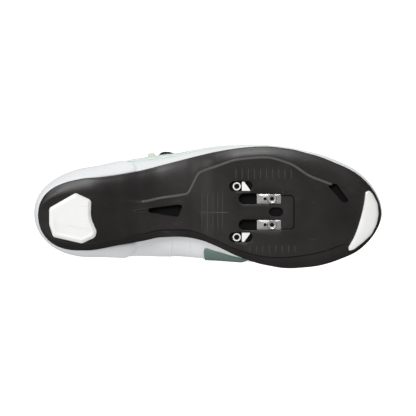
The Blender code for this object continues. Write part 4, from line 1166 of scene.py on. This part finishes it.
def closed_sheet(name, over, under, flat, material, slot, hides):
    """Two faces of a sheet, joined where their edges meet."""
    rows, columns = over.shape[:2]
    block = grid_faces(rows, columns)
    points = np.concatenate([over.reshape(-1, 3), under.reshape(-1, 3)])
    faces = np.concatenate([block, block[:, ::-1] + rows * columns])
    uv = np.concatenate([flat.reshape(-1, 2), flat.reshape(-1, 2)])
    return make_piece(name, points, faces, material, slot, hides, sharp=70, uv=uv)


(over, under), flat = tongue_faces()
closed_sheet("tongue_pad", over, under, flat, LINING, "tongue", ["tongue"])

# %% Footbed
def footbed_faces():
    """Half widths of the sole less the wall's room, a raised rim round the heel, and a soft edge."""
    u, v, edge = pillow(120, 40)
    room = WALL + FEATHER + 0.0016
    along = room + (LENGTH - 2 * room) * (u + 1) / 2
    place_at = (along - room) / (LENGTH - 2 * room)
    widths = [sole_half(place_at, side) - room * sole_ends(place_at) for side in (-1, 1)]
    across = v * np.where(v < 0, widths[0], widths[1])
    low = sole_low(along / LENGTH) + THICK + GAP
    round_off = quarter_round(edge / 0.08)
    cup = 0.0022 * soft((np.abs(v) - 0.55) / 0.45) * soft((0.45 - place_at) / 0.2)
    half_over, half_under = 0.0015, 0.0014
    over = np.stack([along, across, low + half_over + (half_over + cup) * round_off], -1)
    under = np.stack([along, across, low + half_over - half_under * round_off], -1)
    return over, under, np.stack([along, across], -1)


over, under, flat = footbed_faces()
closed_sheet("footbed", over, under, flat, FOOTBED, "insole", ["insole"])

# %% [markdown]
# ## Overlays and seams
# The heel counter and the two quarters are thin films bonded on the upper. Their outlines are drawn from the
# side. Each film is a grid between its lower and its upper line that thins out towards its edge.

# %% Films on the upper
def from_side(along, height, side):
    """Station and rise of a spot seen from the side, found by going back and forth between the two."""
    station = np.clip(form_station(along), 0, 1)
    for _ in range(6):
        rise = rise_at_height(station, side, height)
        spot = form_point(station, rise, side)
        station = np.clip(station + (along - spot[..., 0]) / LENGTH, 0, 1)
    return station, rise_at_height(station, side, height)


def film_points(station, rise, side, from_edge):
    """Outer and inner faces of a film. Near the edge the thickness falls along a quarter circle."""
    round_off = quarter_round(from_edge)
    over = form_face(station, rise, side, GAP * 0.3 + (GAP * 0.7 + OVERLAY) * round_off)
    under = form_face(station, rise, side, GAP * 0.3 + 0 * round_off)
    return over, under


def line_at(u, line):
    """Places along and heights of a drawn line: straight between its points, softened by repeated means."""
    fine = np.linspace(0, 1, 60)
    columns = [np.interp(fine, np.linspace(0, 1, len(line)), column) for column in np.array(line).T]
    return [np.interp(u, fine, softened(column, 14)) for column in columns]


def film(name, lower, upper, side, material, slot, hides):
    """Film between two lines given as shares of the length and of the instep height."""
    u, v, edge = pillow(90, 50)
    u, v = (u + 1) / 2, (v + 1) / 2
    low, high = line_at(u, lower), line_at(u, upper)
    along, height = ((a + (b - a) * v) * size for a, b, size in zip(low, high, (LENGTH, INSTEP)))
    station, rise = from_side(along, height, side)
    over, under = film_points(station, rise, side, edge / 0.06)
    return closed_sheet(name, over, under, np.stack([along, height], -1), material, slot, hides)


film(
    "quarter_film_outer", ((0.252, 0.40), (0.40, 0.355), (0.575, 0.400)),
    ((0.285, 0.68), (0.35, 0.86), (0.40, 0.92), (0.47, 0.83), (0.585, 0.585)),
    -1, MINT, "mint", ["quarter_outer"],
)
# The inner quarter film is the mint film too; its darker copy paints the shade on the downward inner side.
film(
    "quarter_film_inner",
    ((0.422, 0.70), (0.468, 0.54), (0.503, 0.36), (0.476, 0.228), (0.535, 0.183), (0.603, 0.142)),
    ((0.425, 0.79), (0.438, 0.81), (0.468, 0.745), (0.500, 0.66), (0.560, 0.42), (0.610, 0.145)),
    1, MINT_IN_SHADE, "green", ["quarter_inner"],
)

# %% The heel counter goes right round the heel
def counter_front(v):
    """Share of the length where the counter ends in front: it leans back towards its upper line."""
    return 0.285 - 0.045 * soft((v - 0.1) / 0.8)


def counter_half(side, steps=70):
    """Places from the heel's middle forwards and heights between the counter's lower and upper lines."""
    u = np.linspace(0, 1, steps)[:, None]
    v = ((np.sin(np.linspace(-1, 1, 44) * math.pi / 2) + 1) / 2)[None, :]
    far = counter_front(v) * LENGTH
    along = -OVERHANG_HEEL + (far + OVERHANG_HEEL) * (1 - np.cos(u * math.pi / 2)) ** 0.999
    share = along / LENGTH
    lower = sole_low(np.clip(share, 0, 1)) + THICK + GAP + 0.0012
    upper = COLLAR_TOP * (0.667 - 0.394 * np.clip(share, 0, 1) - 0.845 * np.clip(share - 0.12, 0, 1) ** 1.5)
    height = lower + (upper - lower) * v
    station, rise = from_side(along, height, side)
    station = np.where(u == 0, 0, station)
    edge = np.minimum(np.minimum(v, 1 - v) * 16, (1 - u) * 26)
    over, under = film_points(station, rise, side, edge)
    return over, under, np.stack([along, height], -1)


(outer_over, outer_under, flat_out), (inner_over, inner_under, flat_in) = counter_half(-1), counter_half(1)
over = np.concatenate([outer_over[::-1], inner_over[1:]])
under = np.concatenate([outer_under[::-1], inner_under[1:]])
flat = np.concatenate([-flat_out[::-1], flat_in[1:]])
closed_sheet("heel_counter_film", over, under, flat, UPPER_WHITE, "upper_overlay", ["heel_counter"])

# %% [markdown]
# Seams are folded edges and rows of stitches. A seam is a low bead on the form, and a stitch is a short
# thread that dips in at both ends, set along the seam every three millimetres.

# %% Seams and stitches
def form_beads(name, stations, rises, side, width, height, material, grow=0.0, sunk=0.00005):
    """Half round bars on the form along paths of shape (beads, points), thin at both ends."""
    count, steps = stations.shape
    middle = form_face(stations, rises, side, grow)
    normal = unit(form_face(stations, rises, side, grow + 0.001) - middle)
    aside = unit(np.cross(normal, np.gradient(middle, axis=1)))[:, :, None]
    normal = normal[:, :, None]
    taper = bar_taper(steps, 0.03)[None, :, None, None]
    turn = np.linspace(0, math.pi, BAR_POINTS)[None, None, :, None]
    bar = taper * (np.cos(turn) * width / 2 * aside + np.sin(turn) * height * normal)
    points = middle[:, :, None] + bar - sunk * normal
    return make_piece(name, points, bar_faces(count, steps), material, "upper", sharp=60)


def stitches(name, along, height, side):
    """Short threads on a film, set along a line drawn from the side, each straight between its two ends."""
    every, length = 0.0030, 0.0020
    line = np.stack([np.asarray(along) * LENGTH, np.asarray(height) * INSTEP], 1)
    way = walked(line)
    starts = np.arange(0.0015, way[-1] - length, every)
    place_at = starts[:, None] + np.linspace(0, length, 4)[None, :]
    x, z = (np.interp(place_at, way, line[:, k]) for k in (0, 1))
    station, rise = from_side(x, z, side)
    return form_beads(name, station, rise, side, 0.0006, 0.00035, THREAD, OVERLAY + GAP)


for number, (place_at, slant) in enumerate(((0.387, -0.012), (0.445, 0.012))):
    rises = np.linspace(0.02, 0.62, 40)[None, :]
    form_beads(f"arch_seam_{number}", place_at + slant * (rises - 0.3), rises, 1, 0.0012, 0.0004, UPPER_WHITE)
for side, word in ((-1, "outer"), (1, "inner")):
    v = np.linspace(0.04, 0.96, 20)
    ahead = counter_front(v) - 0.009
    low, high = 0.195 + 0.26 * ahead, 0.71 - 0.42 * ahead - 0.9 * np.clip(ahead - 0.12, 0, 1) ** 1.5
    for row, back in (("", 0.0), ("_2", 0.010)):
        stitches(f"counter_stitches_{word}{row}", ahead - back, low + (high - low) * v, side)

# %% [markdown]
# ## Lace dial, lace and guides
# The dial is a lathe-turned housing and a ribbed knob that winds the lace. The lace runs from the dial
# through the guides across the throat. The dial's axis is the upper's own normal where it sits.

# %% Dial
def local_frame(station, rise, side, grow):
    """Origin and three axes at a spot of the form: two along the face and its outward normal."""
    spot = form_face(station, rise, side, grow)
    normal = unit(form_face(station, rise, side, grow + 0.001) - spot)
    ahead = unit(np.cross([0, 0, 1.0], normal))
    return spot, np.stack([ahead, np.cross(normal, ahead), normal])


def turned(profile, steps, ribs=0, rib_depth=0.0):
    """Lathe about Z from rows of radius, height and how much of the ribs' wave the row takes."""
    turn = np.arange(steps) * 2 * math.pi / steps
    radius, height, share = (np.array(column)[:, None] for column in zip(*profile))
    wave = soft((0.5 + 0.5 * np.cos(ribs * turn)) * 1.6 - 0.3)
    radius = radius - rib_depth * share * (1 - wave)[None, :]
    return np.stack([radius * np.cos(turn), radius * np.sin(turn), height + 0 * radius], -1)


spot, axes = local_frame(0.372, 0.60, -1, OVERLAY + 2 * GAP)
housing = turned([
    (0.0, 0, 0), (0.0104, 0, 0), (0.0105, 0.0002, 0), (0.0105, 0.0012, 0), (0.0101, 0.0019, 0),
    (0.0093, 0.0024, 0), (0.0090, 0.0026, 0), (0.0, 0.0026, 0),
], 96)
make_round("dial_housing", spot + housing @ axes, DIAL, "dial", ["dial_base"], sharp=40)
knob = turned([
    (0.0, 0.0029, 0), (0.0083, 0.0029, 0), (0.0088, 0.0031, 0.6), (0.0090, 0.0035, 1), (0.0090, 0.0060, 1),
    (0.0087, 0.0067, 1), (0.0081, 0.0073, 0.6), (0.0074, 0.00755, 0), (0.0066, 0.0076, 0),
    (0.0063, 0.00735, 0), (0.0059, 0.00735, 0), (0.0056, 0.0076, 0), (0.0030, 0.00765, 0), (0.0, 0.0076, 0),
], 288, 24, 0.0006)
make_round("dial_knob_fine", spot + knob @ axes, DIAL, "dial", ["dial_knob"], sharp=40)

# %% Lace and guides
ROUTE = table(
    "station along across",
    (0, 0.420, -0.330), (1, 0.425, -0.150), (2, 0.428, 0.100), (3, 0.434, 0.150),
    (4, 0.443, 0.150), (5, 0.452, 0.100), (6, 0.475, -0.100), (7, 0.482, -0.150),
    (8, 0.491, -0.150), (9, 0.500, -0.100), (10, 0.522, 0.100), (11, 0.530, 0.150),
    (12, 0.539, 0.150), (13, 0.548, 0.100), (14, 0.570, -0.100), (15, 0.578, -0.150),
)
CORD_RADIUS, CORD_POINTS = 0.0007, 12
# Thickness and lift: the tab beside the dial is stout and flat, and the loops rise over the lace.
TAB, LOOP = (0.0034, 0.0), (0.0009, 0.0026)
GUIDES = (
    ("guide_dial", 0.332, -0.500, *TAB), ("guide_inner_rear", 0.4385, 0.150, *LOOP),
    ("guide_outer_rear", 0.4865, -0.150, *LOOP), ("guide_inner_front", 0.5345, 0.150, *LOOP),
    ("guide_outer_front", 0.582, -0.150, *LOOP),
)


def crown_point(station, across, lift):
    """Spot over the throat: across is 0 on the crown, below 0 towards the outer side."""
    spots = [form_face(station, 1 - np.abs(across), side, lift) for side in (-1, 1)]
    return np.where((across < 0)[..., None], spots[0], spots[1])


def tube(path, radius, around):
    """Round bar along a path: a circle in the plane across each step of the path, closed at both ends."""
    ahead = unit(np.gradient(path, axis=0))
    aside = unit(np.cross(ahead, [0.1, 0.2, 1.0]))
    third = np.cross(ahead, aside)
    turn = (np.arange(around) * 2 * math.pi / around)[None, :, None]
    ring = np.cos(turn) * aside[:, None] + np.sin(turn) * third[:, None]
    return capped(path[:, None] + radius * ring)


fine = np.linspace(0, 15, 320)
lift = OVERLAY + 3 * GAP + CORD_RADIUS
path = crown_point(follow(ROUTE, "along", fine), follow(ROUTE, "across", fine), lift)
lace = tube(path, CORD_RADIUS, CORD_POINTS)
way = np.pad(walked(path), 1, mode="edge")[:, None] + 0 * lace[..., 0]
around = (np.arange(CORD_POINTS) * 0.0044 / CORD_POINTS)[None, :] + 0 * way
make_round("lace_cord", lace, CORD, "lace", ["lace"], sharp=80, uv=np.stack([way, around], -1))


def webbing_loop(name, place_at, across, thick, lift):
    """Band from its sewn foot towards the crown, up and over the lace's turn by lift, then down behind it."""
    half_wide, foot, run, bend, past_turn = 0.0026, 0.105, 0.125, 0.017, 0.004
    u, v, edge = pillow(16, 60)
    sign = -1 if across < 0 else 1
    half = 0.5 * thick + 0.0014 if lift == 0 else half_wide
    share = (v + 1) / 2
    reach = abs(across) + foot - run * share
    turn = place_at + u * half / LENGTH
    rise = lift * np.exp(-(((reach - abs(across) + past_turn) / bend) ** 2))
    over = crown_point(turn, sign * reach, OVERLAY + GAP + rise + thick * quarter_round(edge / 0.3))
    under = crown_point(turn, sign * reach, OVERLAY + GAP + rise)
    flat = np.stack([u * half_wide, share * 0.013], -1)
    return closed_sheet(f"{name}_loop", over, under, flat, WEBBING, "guide", [name])


for guide in GUIDES:
    webbing_loop(*guide)

# %% [markdown]
# ## Stage
# The shoe is photographed square to its sole against white, lit from above. The camera looks along the
# sole's normal, leaned a little to the outer side, from far away so that lines stay parallel.

# %% Camera
LEAN_OUT = math.radians(2.8)
PICTURE_WIDTH, DISTANCE, SENSOR = 0.3356, 3.0, 36.0
back = np.array([0, -math.sin(LEAN_OUT), -math.cos(LEAN_OUT)])
right = np.array([1.0, 0, 0])
turn = POSE[:3, :3] @ np.stack([right, np.cross(back, right), back], axis=1)
target = np.array([0.1371, -0.0052, 0.006])
away = lying(target) + turn[:, 2] * DISTANCE
camera = bpy.data.objects.new("camera", bpy.data.cameras.new("camera"))
bpy.context.scene.collection.objects.link(camera)
camera.matrix_world = Matrix.Translation(Vector(away)) @ Matrix(turn.tolist()).to_4x4()
camera.data.sensor_width = SENSOR
camera.data.lens = SENSOR * DISTANCE / PICTURE_WIDTH
camera.data.clip_start, camera.data.clip_end = 0.05, 60
bpy.context.scene.camera = camera
print("camera lens", round(camera.data.lens, 1), "looking from", [round(v, 3) for v in away])

# %% White paper that glows a little, so that the shoe stands on plain white
white = bpy.data.materials.new("studio floor")
white.use_nodes = True
tree = white.node_tree
shader = tree.nodes["Principled BSDF"]
shader.inputs["Roughness"].default_value = 0.9
shader.inputs["Specular IOR Level"].default_value = 0.0
shader.inputs["Emission Color"].default_value = (1, 1, 1, 1)
rays = node(tree, "ShaderNodeLightPath").outputs
seen, bounced = rays["Is Camera Ray"], rays["Is Diffuse Ray"]
tree.links.new(blend(tree, seen, (0.12, 0.12, 0.12), (0.8, 0.8, 0.8)), shader.inputs["Base Color"])
glow = maths(tree, "MULTIPLY_ADD", bounced, 0.78, maths(tree, "MULTIPLY", seen, 0.9))
tree.links.new(glow, shader.inputs["Emission Strength"])

size = 60.0
mesh = bpy.data.meshes.new("floor")
mesh.from_pydata([(-size, -size, 0), (size, -size, 0), (size, size, 0), (-size, size, 0)], [], [(0, 1, 2, 3)])
mesh.materials.append(white)
floor = bpy.data.objects.new("floor", mesh)
bpy.context.scene.collection.objects.link(floor)
print("paper:", 2 * size, "m wide")

# %% The white room round it
world = bpy.data.worlds.new("studio")
world.use_nodes = True
bpy.context.scene.world = world
tree = world.node_tree
rays = node(tree, "ShaderNodeLightPath").outputs
strength = maths(tree, "MULTIPLY_ADD", rays["Is Camera Ray"], 0.93, 0.12)
strength = maths(tree, "MULTIPLY_ADD", rays["Is Diffuse Ray"], 0.33, strength)
tree.links.new(strength, tree.nodes["Background"].inputs["Strength"])
tree.nodes["Background"].inputs["Color"].default_value = (1, 1, 1, 1)
print("room:", world.name)


# %% Lights
def area_light(name, place_at, aim, size, power, long=0.0):
    """Round softbox, or with a length a strip box that only gives its reflection."""
    light = bpy.data.lights.new(name, "AREA")
    light.shape, light.size, light.energy = "RECTANGLE" if long else "DISK", long or size, power
    light.size_y = size
    obj = bpy.data.objects.new(name, light)
    obj.visible_diffuse = not long
    bpy.context.scene.collection.objects.link(obj)
    obj.location = place_at
    obj.rotation_mode = "QUATERNION"
    obj.rotation_quaternion = (Vector(aim) - Vector(place_at)).to_track_quat("-Z", "Y")


area_light("key", (-0.3, -1.85, 1.30), (0, 0, 0.04), 1.0, 23)
area_light("top", (-0.7, -0.3, 1.9), (0, 0, 0.05), 1.0, 6)
area_light("back", (0.2, 1.6, 1.5), (0, 0, 0.05), 1.2, 8)
area_light("strip", (-0.4, -1.45, 1.75), (0, -0.05, 0), 0.35, 22, long=3.4)
area_light("heel side", (-2.0, -1.3, 0.40), (-0.05, 0, 0.05), 0.8, 10)
bpy.context.scene.view_settings.view_transform = "Standard"
print("lights:", [light.name for light in bpy.data.lights])
